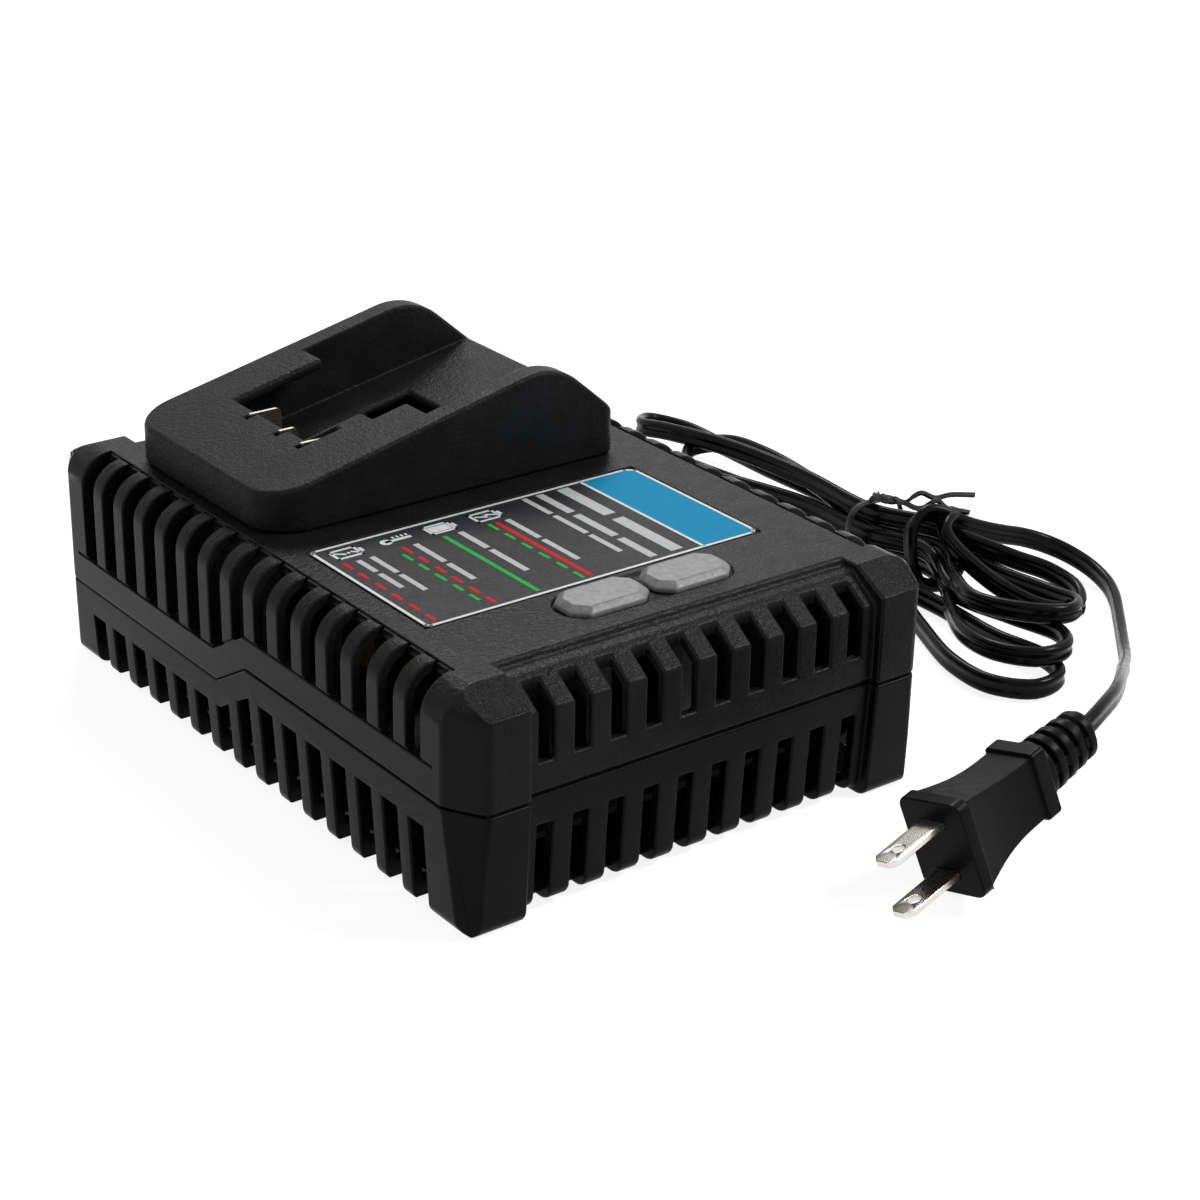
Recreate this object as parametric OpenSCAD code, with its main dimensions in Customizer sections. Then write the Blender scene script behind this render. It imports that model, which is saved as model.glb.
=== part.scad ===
// Charging station for slide-on tool battery packs.
// Origin: bottom centre of the housing, +X to the open end of the dock, -Y to the indicator front, +Z up.

/* [Housing] */
// Width of the housing
body_w = 130; // [124:1:150]
// Length of the housing over the corner posts
body_l = 184; // [178:1:210]
// Height of the flat top
body_h = 56.7; // [54:0.1:64]
// Wall thickness of both shells
wall = 2.8; // [2.2:0.1:3.4]
// Chamfer of the corner posts, across the width
corner_cut_x = 5.4; // [4:0.1:7]
// Chamfer of the corner posts, along the length
corner_cut_y = 9.4; // [7:0.1:11]
// Width of each corner post at the front and back, with its chamfer
post_w = 16.7; // [14:0.1:20]
// Radius of the upright edges of the corner posts
post_edge_r = 3; // [1:0.1:5]
// Radius of the top edge of the corner posts' chamfer
chamfer_top_r = 6.5; // [4:0.1:8]
// How far the end panels sit back between the posts
panel_recess = 2.4; // [1:0.1:3]
// Radius of the long top edges
shoulder_r = 8; // [6:0.1:10]
// Drop of the slope on top of each corner post
post_drop = 5.1; // [3:0.1:7]
// How far the lower shell leans in at the floor
base_draft = 1.8; // [0.5:0.1:2.4]
// Radius of the bottom edge
base_r = 3.5; // [2.5:0.1:4.5]
// Height of the feet under the corner posts
foot_h = 1.5; // [1:0.1:3]

/* [Panel bevel] */
// Height at which the end panels start to lean back
bevel_z = 49.3; // [46:0.1:51]
// Length of the leaning face, measured level
bevel_run = 8.1; // [6:0.1:9]
// Rise of the leaning face
bevel_rise = 5.5; // [4:0.1:6]
// Width of the level strip behind the leaning face
border_w = 3.2; // [2:0.1:4]
// Run of the small slope up to the flat top
border_run = 0.8; // [0.4:0.1:1.5]

/* [Seam] */
// Height of the seam between the shells along the back half
seam_low = 21.5; // [20:0.1:23]
// Height of the seam along the front half and the ends
seam_high = 29.7; // [28:0.1:31]
// Where the sloping part of the seam starts, towards the back
seam_back_y = 12; // [8:1:20]
// Where the sloping part of the seam ends, towards the front
seam_front_y = -2; // [-10:1:0]
// Height of the plain band above the seam on the long sides
band_h = 8.2; // [7:0.1:10]
// Width of the grooves along the seam and above the band
groove_w = 0.6; // [0.3:0.1:1]
// Depth of those grooves
groove_d = 0.6; // [0.3:0.1:1]

/* [Vents] */
// Width of each side vent
side_vent_w = 5.6; // [4.5:0.1:6.5]
// Distance from one side vent to the next
side_pitch = 10.32; // [9.5:0.01:11.5]
// Plain length left at each end of the long sides
side_margin = 16.5; // [15:0.1:20]
// Width of each vent in the end panels
end_vent_w = 4.0; // [3:0.1:5]
// Distance from one end vent to the next
end_pitch = 9.54; // [8.5:0.01:10.5]
// Plain width left at each end of the end panels
end_margin = 3.2; // [2.5:0.1:5]
// Plain height between the seam and the vents of the end panels, and the lower vents
vent_gap = 7.5; // [6:0.1:9]

/* [Dock] */
// Length of the dock along the slide direction
dock_l = 99; // [94:0.5:104]
// Width of the dock across the slide direction
dock_w = 67.5; // [64:0.5:72]
// Position of the dock's low end
dock_x = -53.5; // [-56:0.5:-50]
// Distance from the housing's middle to the dock's centre line
dock_y = 37.2; // [36:0.1:38]
// Corner radius at the low end
dock_nose_r = 11; // [8:0.5:14]
// Corner radius at the open end
dock_tail_r = 3.5; // [2:0.5:5]
// Height of the rim above the housing's top at the low end
rim_h = 9.7; // [8.5:0.1:11]
// Tilt of the rim
rim_tilt = 12.25; // [10:0.05:14]
// Radius of the crest of the rim
crest_r = 18; // [14:0.5:22]
// Length from the low end to where the rim and the falling edge would meet
crest_x = 80.6; // [76:0.1:84]
// Steepness of the falling edge behind the crest
fall_tilt = 40.9; // [36:0.1:45]
// Thickness of the side walls of the dock
rail_t = 6.3; // [5:0.1:8]
// Width of the name plate's flat at the low end, up to the well
plate_l = 21.5; // [19:0.5:24]
// Height of the channel floor above the housing's top at the open end
floor_h = 13.2; // [12:0.1:15]
// Tilt of the channel floor
floor_tilt = 10.6; // [9:0.1:12]
// Thickness of the dock's floor and inner walls
dock_wall = 2.2; // [1.8:0.1:2.8]
// Thickness of the lips that hold the pack down
lip_t = 3; // [2:0.1:4]
// Length of the lips from the well's low end
lip_l = 25.5; // [22:0.5:30]
// How far the lips reach in over the channel
lip_w = 8.6; // [7:0.1:10]
// Length of the latch pocket in the channel floor
pocket_l = 14; // [12:0.5:17]
// Width of the latch pocket
pocket_w = 29; // [24:0.5:32]
// Distance from the well's low end to the latch pocket
pocket_x = 33.6; // [32:0.1:38]

/* [Terminals] */
// Thickness of the contact blades
blade_t = 0.8; // [0.6:0.1:1.2]
// Length of the long contact blades out of the dock's wall
blade_l = 6.4; // [5.5:0.1:7.5]
// Length of the short contact blade out of the dock's wall
blade_short_l = 2.8; // [2:0.1:4]
// Height of the contact blades
blade_h = 12; // [10:0.5:13]
// Distance from the dock's centre line to the front blade
front_blade_y = 15.9; // [15.5:0.1:16.3]
// Distance from the dock's centre line to the middle blade
middle_blade_y = 6; // [4:0.1:8]
// Distance from the dock's centre line to the back blade
back_blade_y = 7.7; // [6:0.1:10]
// Thickness of the carrier that holds the blades
carrier_t = 8.8; // [8:0.1:10]

/* [Label and lights] */
// Length of the label across the housing
label_l = 92; // [88:0.5:94]
// Width of the label along the housing
label_w = 48.4; // [46:0.1:50]
// Label's left end
label_x = -49.6; // [-51:0.1:-48]
// Distance from the housing's front end to the label
label_inset = 37.2; // [36.5:0.1:38]
// Label thickness
label_t = 0.4; // [0.3:0.1:0.6]
// Gap between the label and the edge of its recess
label_gap = 0.8; // [0.5:0.1:1.2]
// Length of each light lens
lens_l = 21.6; // [19:0.1:22]
// Width of each light lens
lens_w = 12.8; // [11:0.1:13.5]
// Height of the lenses above the housing's top
lens_h = 2; // [1.5:0.1:3]
// Corner cut of the lenses
lens_cut = 3.4; // [2:0.1:4.5]
// Distance between the centres of the lenses
lens_pitch = 23.2; // [23:0.1:25]
// Middle of the pair of lenses, across the housing
lens_x = 1.3; // [0:0.1:3]
// Distance from the housing's front end to the middle of the lenses
lens_inset = 27.3; // [27:0.1:28]
// Radius of the light guide under each lens
guide_r = 2.5; // [2:0.1:3]

/* [Electronics] */
// Width of the circuit board
board_w = 100; // [92:1:102]
// Length of the circuit board
board_l = 150; // [146:1:154]
// Thickness of the circuit board
board_t = 1.6; // [1.2:0.1:2]
// Height of the circuit board above the shell's floor
board_up = 5; // [4:0.5:7]
// Side of the transformer
core_w = 34; // [30:1:36]
// Height of the transformer
core_h = 27; // [24:1:30]
// Radius of the input capacitor
input_cap_r = 9; // [8:0.5:10]
// Height of the input capacitor
input_cap_h = 28; // [24:1:31]
// Radius of the output capacitors
output_cap_r = 6.3; // [5:0.1:7]
// Height of the output capacitors
output_cap_h = 22; // [18:1:26]
// Length of the heat sink
sink_l = 112; // [100:1:116]
// Height of the heat sink
sink_h = 30; // [26:1:32]
// Radius of the screws' shanks
screw_r = 1.5; // [1.2:0.1:1.7]

/* [Mains cord] */
// Width of the flat cord
cord_w = 5.5; // [4.8:0.1:6.2]
// Thickness of the flat cord
cord_t = 2.8; // [2.4:0.1:3.2]
// Position of the cord's way out, across the housing
gland_x = 36; // [32:1:40]
// Height of the cord's way out
gland_z = 12; // [11:0.5:13]
// Radius of the gland's neck
gland_r = 5; // [4.5:0.1:5.5]
// Length of the gland's sleeve out of the back wall
gland_out = 20; // [18:0.5:24]
// Height of the folded hank of cord
hank_h = 18; // [16:1:22]
// Width of the tie's band along the hank
tie_w = 3.6; // [2:0.1:5]
// Thickness of the tie's band
tie_t = 1.2; // [0.8:0.1:1.6]

/* [Plug] */
// Width of the plug's flange
plug_w = 17.8; // [16:0.1:20]
// Height of the plug's flange, across both blades
plug_h = 23.5; // [22:0.1:26]
// Thickness of the plug's flange
flange_t = 3.5; // [3:0.1:5]
// Length of the grip behind the flange
grip_l = 23.2; // [20:0.1:26]
// Depth of the finger scoops
scoop = 0.9; // [0.4:0.1:1.6]
// Length of the collar behind the grip
collar_l = 4.3; // [3.5:0.1:5]
// Width of the collar
collar_w = 14; // [13:0.1:15]
// Height of the collar
collar_h = 17; // [16:0.1:18]
// Length of the ribbed relief behind the collar
relief_l = 19.3; // [16:0.1:22]
// Distance between the centres of the plug's blades
pin_pitch = 12.7; // [12.7:0.1:12.7]
// Width of each plug blade
pin_w = 6.35; // [6.1:0.05:6.6]
// Thickness of each plug blade
pin_t = 1.5; // [1.4:0.05:1.65]
// Length of each plug blade out of the plug's face
pin_l = 17; // [15.9:0.1:18]
// Distance from the plug's face to the hole in each blade
pin_hole_x = 11.7; // [11.4:0.1:12]
// Radius of the hole in each blade
pin_hole_r = 1.6; // [1.5:0.05:1.7]

/* [Hidden] */
$fn = 48;
// Overshoot of cutting shapes
eps = 0.5;
// Overshoot of cutting shapes that start outside the part
over = 9;
// Height of shapes that only their cuts bound
tall = 199;
// Running clearance between pieces that seat in one another
fit = 0.1;

// Housing, worked out from the driving sizes
half_w = body_w / 2;
half_l = body_l / 2;
panel_y = half_l - panel_recess;
label_y = label_inset - half_l;
lens_y = lens_inset - half_l;
panel_half = half_w - post_w;
border_y = panel_y - bevel_run - border_w - border_run;
band_top = seam_high + band_h;
inner_top = body_h - wall;
shell_floor = foot_h + wall;
side_run = body_l - 2 * side_margin - side_vent_w;
side_count = floor(side_run / side_pitch) + 1;
end_run = 2 * (panel_half - end_margin) - end_vent_w;
end_count = floor(end_run / end_pitch) + 1;

// Dock
dock_end = dock_x + dock_l;
dock_front = dock_y - dock_w / 2;
well_x = dock_x + plate_l;
channel_w = dock_w - 2 * rail_t;
rim_slope = tan(rim_tilt);
floor_slope = tan(floor_tilt);
floor_end_z = body_h + floor_h;
skirt_drop = 7;
slot_side = 1.6;
wide_lip_cut = 9.5;
opening_edge = 3;

// Electronics
board_z = shell_floor + board_up;
board_top = board_z + board_t;
board_hole_x = board_w / 2 - 6;
board_hole_y = board_l / 2 - 6;
boss_r = 3.6;
boss_x = half_w - wall - boss_r - 1;
boss_y = panel_y - wall - boss_r - 1;
head_r = screw_r * 1.8;
head_h = screw_r * 1.2;
boss_floor = shell_floor + 9;
led_r = 2.5;
led_h = 7;
transformer_at = [-13, 20];
input_cap_at = [14, 52];
output_cap_at = [-34, -42];
output_cap_pitch = 17;
choke_at = [21, 18];
sink_at = [38, -8];
rectifier_at = [12, -22];
fuse_at = [-30, 58];
fuse_r = 2.5;
fuse_lift = 4;
core_depth = 16;
core_leg = 10;
core_rim = 4;
core_window = (core_w - core_leg - 2 * core_rim) / 2;
inlet_at = [36, 62];

// Mains cord: the run out of the housing and the run to the plug, in round numbers
gland_y = panel_y - base_draft * (seam_high - gland_z) / seam_high;
cord_exit = [gland_x, gland_y + gland_out, gland_z];
exit_route = [
    cord_exit, [37, 115, 10.5], [41, 122.5, 7.5], [50, 130, 4.5], [63, 134, 2.5], [78, 134.5, 2], [92, 131, 3],
    [106, 122, 4], [118, 108, 5], [126, 97, 5]
];
lead_route = [
    [150, -13, 9], [160, -16.5, 11], [168.5, -18.3, 9.5], [176, -22, 6.5], [181, -30, 3.6], [182, -40.5, 2.1],
    [176, -48.6, 2], [167.5, -58.2, 2.1], [157.2, -69, 3.1], [147, -79.2, 4.8], [137.5, -87.6, 8.2],
    [127.5, -95.5, 12.6], [117.5, -103.8, 17], [108, -111.5, 20.9], [98.5, -118.4, 23.8], [89, -123.6, 25.2]
];
hank_far = [134, 85];
hank_waist = [143, 12];
hank_near = [138, -42];
hank_far_r = 33;
hank_waist_r = 11;
hank_near_r = 36;

// Plug, lying on the edge of its flange
plug_at = [29.7, -134.1, 13.4];
plug_turn = [-15, -12.7, 7.8];
grip_end = flange_t + grip_l;
collar_end = grip_end + collar_l;
relief_end = collar_end + relief_l;
relief_ribs = 5;
pin_root = 6;

function arc(centre, r, from, to, steps) =
    [for (i = [0:steps]) let(a = from + (to - from) * i / steps) centre + r * [cos(a), sin(a)]];

function seam_at(y) =
    y > seam_back_y ? seam_low
    : y < seam_front_y ? seam_high
    : seam_high + (seam_low - seam_high) * (y - seam_front_y) / (seam_back_y - seam_front_y);

function unit(v) = v / norm(v);

// Extrudes a profile drawn in the Y-Z plane along X, from x0 to x1
module along_x(x0, x1) {
    translate([x0, 0, 0]) rotate([90, 0, 90]) linear_extrude(x1 - x0) children();
}

// Extrudes a profile drawn in the X-Z plane along Y, from y0 to y1
module along_y(y0, y1) {
    translate([0, y1, 0]) rotate([90, 0, 0]) linear_extrude(y1 - y0) children();
}

// Draws a child and its mirror image across the housing's middle, left and right
module both_sides() {
    children();
    mirror([1, 0, 0]) children();
}

// Draws a child and its mirror image, front and back
module both_ends() {
    children();
    mirror([0, 1, 0]) children();
}

module four_corners() {
    both_sides() both_ends() children();
}

// ---- Housing form ----

// Arc that rounds the corner at b between a and c, turning anticlockwise
function rounded(a, b, c, r, steps) =
    let(
        u = unit(a - b),
        v = unit(c - b),
        half = acos(u * v) / 2,
        centre = b + unit(u + v) * r / sin(half),
        start = b + u * r / tan(half) - centre,
        from = atan2(start.y, start.x)
    )
    arc(centre, r, from, from + 180 - 2 * half, steps);

// Plan of the housing with its posts and recessed end panels, mirrored from one quarter
module plan_outline() {
    side = [half_w, 0];
    cut_a = [half_w, half_l - corner_cut_y];
    cut_b = [half_w - corner_cut_x, half_l];
    post = [panel_half, half_l];
    quarter = concat(
        rounded(side, cut_a, cut_b, post_edge_r, 4), rounded(cut_a, cut_b, post, post_edge_r, 5),
        [post, [panel_half, panel_y]]
    );
    last = len(quarter) - 1;
    polygon(concat(
        quarter, [for (i = [last:-1:0]) [-quarter[i].x, quarter[i].y]],
        [for (q = quarter) -q], [for (i = [last:-1:0]) [quarter[i].x, -quarter[i].y]]
    ));
}

// Plan of the hollow inside the shells
module plan_hollow() {
    hx = half_w - wall;
    hy = panel_y - wall;
    cut_y = corner_cut_y - panel_recess;
    front = [
        [-hx, cut_y - hy], [corner_cut_x - hx, -hy], [hx - corner_cut_x, -hy], [hx, cut_y - hy]
    ];
    back = [for (i = [len(front) - 1:-1:0]) [front[i].x, -front[i].y]];
    polygon(concat(front, back));
}

// What the long top edge loses to its rounding, for a wall that is inset by g
module shoulder_cut(g) {
    r = shoulder_r - g;
    centre = [half_w - shoulder_r, body_h - shoulder_r];
    along_y(-half_l - eps, half_l + eps) difference() {
        translate(centre) square(shoulder_r + eps);
        translate(centre) circle(r);
    }
}

// What the top edge of each chamfer loses to its rounding, which runs out on the faces beside it
module chamfer_cut() {
    run = norm([corner_cut_x, corner_cut_y]);
    reach = (half_w * corner_cut_y + (half_l - corner_cut_y) * corner_cut_x) / run;
    centre = [reach - chamfer_top_r, body_h - chamfer_top_r];
    four_corners() rotate([0, 0, atan(corner_cut_x / corner_cut_y)]) along_y(0, body_l) difference() {
        translate(centre) square(chamfer_top_r + over);
        translate(centre) circle(chamfer_top_r);
    }
}

// Thin line on the flat top, where the side vents end
module shoulder_groove() {
    both_sides() translate([half_w - shoulder_r - groove_w, side_margin - half_l, body_h - groove_d])
        cube([groove_w + fit, body_l - 2 * side_margin, groove_d + over]);
}

// What a side loses to the draft and the bottom radius; edge is the side's distance from the middle
function base_profile(edge, floor_z) =
    let(lean = base_draft * (seam_high - floor_z - base_r) / seam_high, corner = edge - lean - base_r)
    concat(
        [[edge, seam_high], [edge + over, seam_high], [edge + over, -over], [corner, -over]],
        arc([corner, floor_z + base_r], base_r, -90, 0, 6)
    );

// What an end panel loses to its bevel and border, as a Y-Z profile for a skin that is inset by g
function panel_bevel(g) =
    let(
        slant = norm([bevel_run, bevel_rise]),
        dy = g * bevel_rise / slant,
        dz = g * bevel_run / slant,
        y1 = panel_y - bevel_run,
        z1 = bevel_z + bevel_rise
    )
    [
        [panel_y + over, bevel_z - dz - (over + dy) * bevel_rise / bevel_run],
        [y1 - dy, z1 - dz],
        [y1 - border_w, z1 - dz],
        [border_y, body_h - g],
        [border_y, body_h + over],
        [panel_y + over, body_h + over]
    ];

// Slope on top of the corner posts
function post_slope() =
    let(slope = post_drop / corner_cut_y)
    [
        [half_l + over, body_h - post_drop - over * slope],
        [half_l - corner_cut_y - 1, body_h + slope],
        [half_l - corner_cut_y - 1, body_h + over],
        [half_l + over, body_h + over]
    ];

// The closed outer form of both shells
module outer_form() {
    difference() {
        linear_extrude(body_h) plan_outline();
        both_sides() {
            shoulder_cut(0);
            along_y(-half_l - over, half_l + over) polygon(base_profile(half_w, 0));
        }
        chamfer_cut();
        both_ends() {
            along_x(-half_w - over, half_w + over) polygon(post_slope());
            along_x(-half_w - over, half_w + over) polygon(base_profile(half_l, 0));
            along_x(-panel_half, panel_half) polygon(panel_bevel(0));
            along_x(-panel_half, panel_half) polygon(base_profile(panel_y, foot_h));
        }
        translate([-panel_half, -half_l, -over]) cube([2 * panel_half, body_l, over + foot_h]);
        translate([-half_w - over, side_margin - half_l, -over])
            cube([body_w + 2 * over, body_l - 2 * side_margin, over + foot_h]);
    }
}

// The hollow inside the shells
module inner_form() {
    difference() {
        translate([0, 0, shell_floor]) linear_extrude(inner_top - shell_floor) plan_hollow();
        both_sides() {
            shoulder_cut(wall);
            along_y(-half_l - over, half_l + over) polygon(base_profile(half_w - wall, shell_floor));
        }
        both_ends() {
            along_x(-half_w - over, half_w + over) polygon(panel_bevel(wall));
            along_x(-half_w - over, half_w + over) polygon(base_profile(panel_y - wall, shell_floor));
        }
    }
}

// Y-Z profile of everything below the stepped seam, raised by lift
module below_seam(lift) {
    polygon([
        [-half_l - over, -over], [half_l + over, -over], [half_l + over, seam_low + lift], [seam_back_y, seam_low + lift],
        [seam_front_y, seam_high + lift], [-half_l - over, seam_high + lift]
    ]);
}

// Everything below the seam; the back panel keeps the height of the long sides there
module lower_half(lift) {
    along_x(-half_w - over, half_w + over) below_seam(lift);
}

// A thin band that follows the seam at a height of lift above it
module seam_band(lift) {
    along_x(-half_w - over, half_w + over) difference() {
        below_seam(lift + groove_w);
        below_seam(lift);
    }
}

// Groove in the long sides, above the plain band
module band_groove() {
    both_sides() intersection() {
        seam_band(band_h);
        translate([half_w - groove_d, side_margin - half_l - 4, 0])
            cube([groove_d + over, body_l - 2 * side_margin + 8, body_h]);
    }
}

// Groove around the seam, cut into the lower edge of the upper shell
module seam_groove() {
    difference() {
        seam_band(0);
        difference() {
            translate([groove_d - half_w, groove_d - half_l, 0])
                cube([body_w - 2 * groove_d, body_l - 2 * groove_d, body_h]);
            both_ends() translate([-panel_half - groove_d, panel_y - groove_d, -eps])
                cube([2 * (panel_half + groove_d), half_l, body_h + 2 * eps]);
            four_corners() corner_edge();
        }
    }
}

// Outer corner of a post, inset for the groove
module corner_edge() {
    translate([0, 0, -eps]) linear_extrude(body_h + 2 * eps) polygon([
        [half_w - groove_d - corner_cut_x, half_l - groove_d], [half_w, half_l], [half_w + 1, half_l + over],
        [half_w + over, half_l + 1], [half_w - groove_d, half_l - groove_d - corner_cut_y]
    ]);
}

// Row of side vents, as cutting boxes from the inner edge of the shoulder out
module side_vents() {
    both_sides() for (i = [0:side_count - 1]) {
        y = (i - (side_count - 1) / 2) * side_pitch;
        translate([half_w - shoulder_r, y - side_vent_w / 2, -eps])
            cube([shoulder_r + over, side_vent_w, body_h + 2 * eps]);
    }
}

// Row of vents in an end panel, from z0 to z1 and as deep as the panel's bevel
module end_vents(z0, z1, clear_of_gland) {
    for (i = [0:end_count - 1]) {
        x = (i - (end_count - 1) / 2) * end_pitch;
        if (!clear_of_gland || abs(x - gland_x) > gland_r + end_vent_w)
            translate([x - end_vent_w / 2, panel_y - bevel_run + 1.6, z0])
                cube([end_vent_w, bevel_run + over, z1 - z0]);
    }
}

module upper_vents() {
    difference() {
        side_vents();
        lower_half(band_h);
    }
    both_ends() end_vents(seam_high + vent_gap, body_h + eps, false);
}

module lower_vents() {
    intersection() {
        side_vents();
        lower_half(-vent_gap);
    }
    mirror([0, 1, 0]) end_vents(-eps, seam_high - vent_gap, false);
    end_vents(-eps, seam_low - vent_gap, true);
}

// ---- Shells ----

module lower_housing() {
    color([0.06, 0.06, 0.065]) difference() {
        union() {
            intersection() {
                difference() {
                    outer_form();
                    inner_form();
                }
                lower_half(0);
            }
            four_corners() translate([board_hole_x, board_hole_y, shell_floor - eps])
                cylinder(h = board_up + eps, r = boss_r);
            four_corners_at_seam() translate([boss_x, boss_y, foot_h]) cylinder(h = body_h, r = boss_r);
        }
        lower_vents();
        translate([gland_x, panel_y + eps, gland_z]) rotate([90, 0, 0]) cylinder(h = wall + over, r = gland_r + fit);
        four_corners() translate([board_hole_x, board_hole_y, shell_floor])
            cylinder(h = board_up + eps, r = screw_r + fit);
        four_corners() translate([boss_x, boss_y, -eps]) {
            cylinder(h = boss_floor - wall + eps, r = head_r + 2 * fit);
            cylinder(h = body_h, r = screw_r + 2 * fit);
        }
    }
}

// Corner bosses, cut off at the seam
module four_corners_at_seam() {
    intersection() {
        four_corners() children();
        lower_half(0);
    }
}

module upper_housing() {
    recess = label_t + 0.1;
    color([0.07, 0.07, 0.075]) difference() {
        union() {
            difference() {
                outer_form();
                inner_form();
                lower_half(0);
            }
            difference() {
                four_corners() translate([boss_x, boss_y, 0]) cylinder(h = inner_top - 3, r = boss_r);
                lower_half(0);
            }
            dock_collar();
        }
        upper_vents();
        shoulder_groove();
        band_groove();
        seam_groove();
        dock_opening();
        label_recess(recess);
        lens_recess();
        for (side = [-1, 1]) translate([lens_x + side * lens_pitch / 2, lens_y, body_h - wall - eps])
            cylinder(h = wall + 2 * eps, r = guide_r + fit);
        four_corners() translate([boss_x, boss_y, -eps]) cylinder(h = seam_high + 16, r = screw_r + fit / 2);
    }
}

// ---- Dock ----

// Plan of the dock, inset by g
module dock_plan(g) {
    nose = dock_nose_r - g;
    tail = dock_tail_r > g ? dock_tail_r - g : 0.2;
    x0 = dock_x + g;
    x1 = dock_end - g;
    y0 = dock_front + g;
    y1 = dock_front + dock_w - g;
    polygon(concat(
        arc([x0 + nose, y0 + nose], nose, 180, 270, 8),
        arc([x1 - tail, y0 + tail], tail, 270, 360, 4),
        arc([x1 - tail, y1 - tail], tail, 0, 90, 4),
        arc([x0 + nose, y1 - nose], nose, 90, 180, 8)
    ));
}

// Height of the rim plane and of the channel floor at a given x
function rim_z(x) = body_h + rim_h + (x - dock_x) * rim_slope;
function floor_z(x) = floor_end_z - (dock_end - 2.5 - x) * floor_slope;

// X-Z profile under the rim, lowered by g: the rising rim, the round crest and the falling edge
module dock_profile(g, bottom) {
    peak_x = dock_x + crest_x;
    peak_z = rim_z(peak_x);
    bend = (rim_tilt + fall_tilt) / 2;
    run = crest_r * tan(bend);
    start = [peak_x - run * cos(rim_tilt), peak_z - run * sin(rim_tilt)];
    centre = start + crest_r * [sin(rim_tilt), -cos(rim_tilt)];
    foot_z = peak_z - (dock_end - peak_x) * tan(fall_tilt);
    polygon(concat(
        [[dock_end + 1, bottom], [dock_x - 1, bottom], [dock_x - 1, rim_z(dock_x - 1) - g]],
        arc(centre, crest_r - g, 90 + rim_tilt, 90 - fall_tilt, 10),
        [[dock_end, foot_z - g / cos(fall_tilt)], [dock_end + 1, foot_z - 1 - g / cos(fall_tilt)]]
    ));
}

// Solid form of the dock above the housing's top, with its inner skirt reaching down through the opening
module dock_form() {
    intersection() {
        union() {
            translate([0, 0, body_h]) linear_extrude(tall) dock_plan(0);
            translate([0, 0, body_h - skirt_drop]) linear_extrude(tall) dock_plan(opening_edge + fit);
        }
        along_y(dock_front - 1, dock_front + dock_w + 1) dock_profile(0, 0);
    }
}

// The channel that the pack slides along, open at the tail
module dock_channel() {
    difference() {
        along_y(dock_y - channel_w / 2, dock_y + channel_w / 2) polygon([
            [well_x, floor_z(well_x)], [dock_end + over, floor_z(dock_end + over)], [dock_end + over, tall], [well_x, tall]
        ]);
        dock_lips();
    }
}

// Lips at the low end that hold the pack down; the front one is wider beside its contact
module dock_lips() {
    wide = channel_w / 2 - lip_w - front_blade_y + slot_side;
    along_y(dock_y + channel_w / 2 - lip_w, dock_y + channel_w) lip_profile(lip_l);
    along_y(dock_y - channel_w, dock_y - channel_w / 2 + lip_w) lip_profile(lip_l);
    along_y(dock_y - channel_w, dock_y - channel_w / 2 + lip_w + wide) lip_profile(lip_l - wide_lip_cut);
}

module lip_profile(length) {
    x1 = well_x + length;
    polygon([
        [well_x - 1, rim_z(well_x - 1) - lip_t], [x1, rim_z(x1) - lip_t], [x1, rim_z(x1) + over],
        [well_x - 1, rim_z(well_x - 1) + over]
    ]);
}

// The hollow under the name plate and under the channel floor
module dock_hollow() {
    low = body_h - skirt_drop - 1;
    plate_edge = dock_x + opening_edge + fit + dock_wall;
    tail_edge = dock_end - opening_edge - fit - dock_wall;
    block_end = well_x - dock_wall;
    y0 = dock_y - channel_w / 2;
    along_y(y0, dock_y + channel_w / 2) polygon([
        [plate_edge, low], [block_end, low], [block_end, rim_z(block_end) - dock_wall],
        [plate_edge, rim_z(plate_edge) - dock_wall]
    ]);
    along_y(y0, dock_y + channel_w / 2) polygon([
        [well_x + 12, low], [tail_edge, low], [tail_edge, floor_z(tail_edge) - dock_wall],
        [well_x + 12, floor_z(well_x + 12) - dock_wall]
    ]);
}

// Opening in the housing's top that the dock's skirt passes through
module dock_opening() {
    translate([0, 0, inner_top - 4]) linear_extrude(tall) dock_plan(opening_edge);
}

// Collar under the housing's top, around the dock's skirt
module dock_collar() {
    translate([0, 0, inner_top - 3]) linear_extrude(3 + wall / 2) dock_plan(opening_edge - 2);
}

module battery_dock() {
    color([0.08, 0.08, 0.085]) difference() {
        dock_form();
        dock_channel();
        dock_hollow();
        translate([well_x + pocket_x, dock_y - pocket_w / 2, body_h - skirt_drop])
            cube([pocket_l, pocket_w, 40]);
        contact_slots();
    }
}

// Heights of the contacts: their tops lie on the rim plane
function contact_top() = rim_z(well_x);

// Slots for the contacts through the dock's inner wall and, at the front, in the lip
module contact_slots() {
    gap = 0.3;
    for (y = [-front_blade_y, -middle_blade_y, back_blade_y])
        translate([well_x - dock_wall - 1, dock_y + y - blade_t / 2 - gap, contact_top() - blade_h - gap])
            cube([dock_wall + 1 + blade_l + 1.2, blade_t + 2 * gap, blade_h + 19]);
}

// ---- Contacts ----

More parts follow.
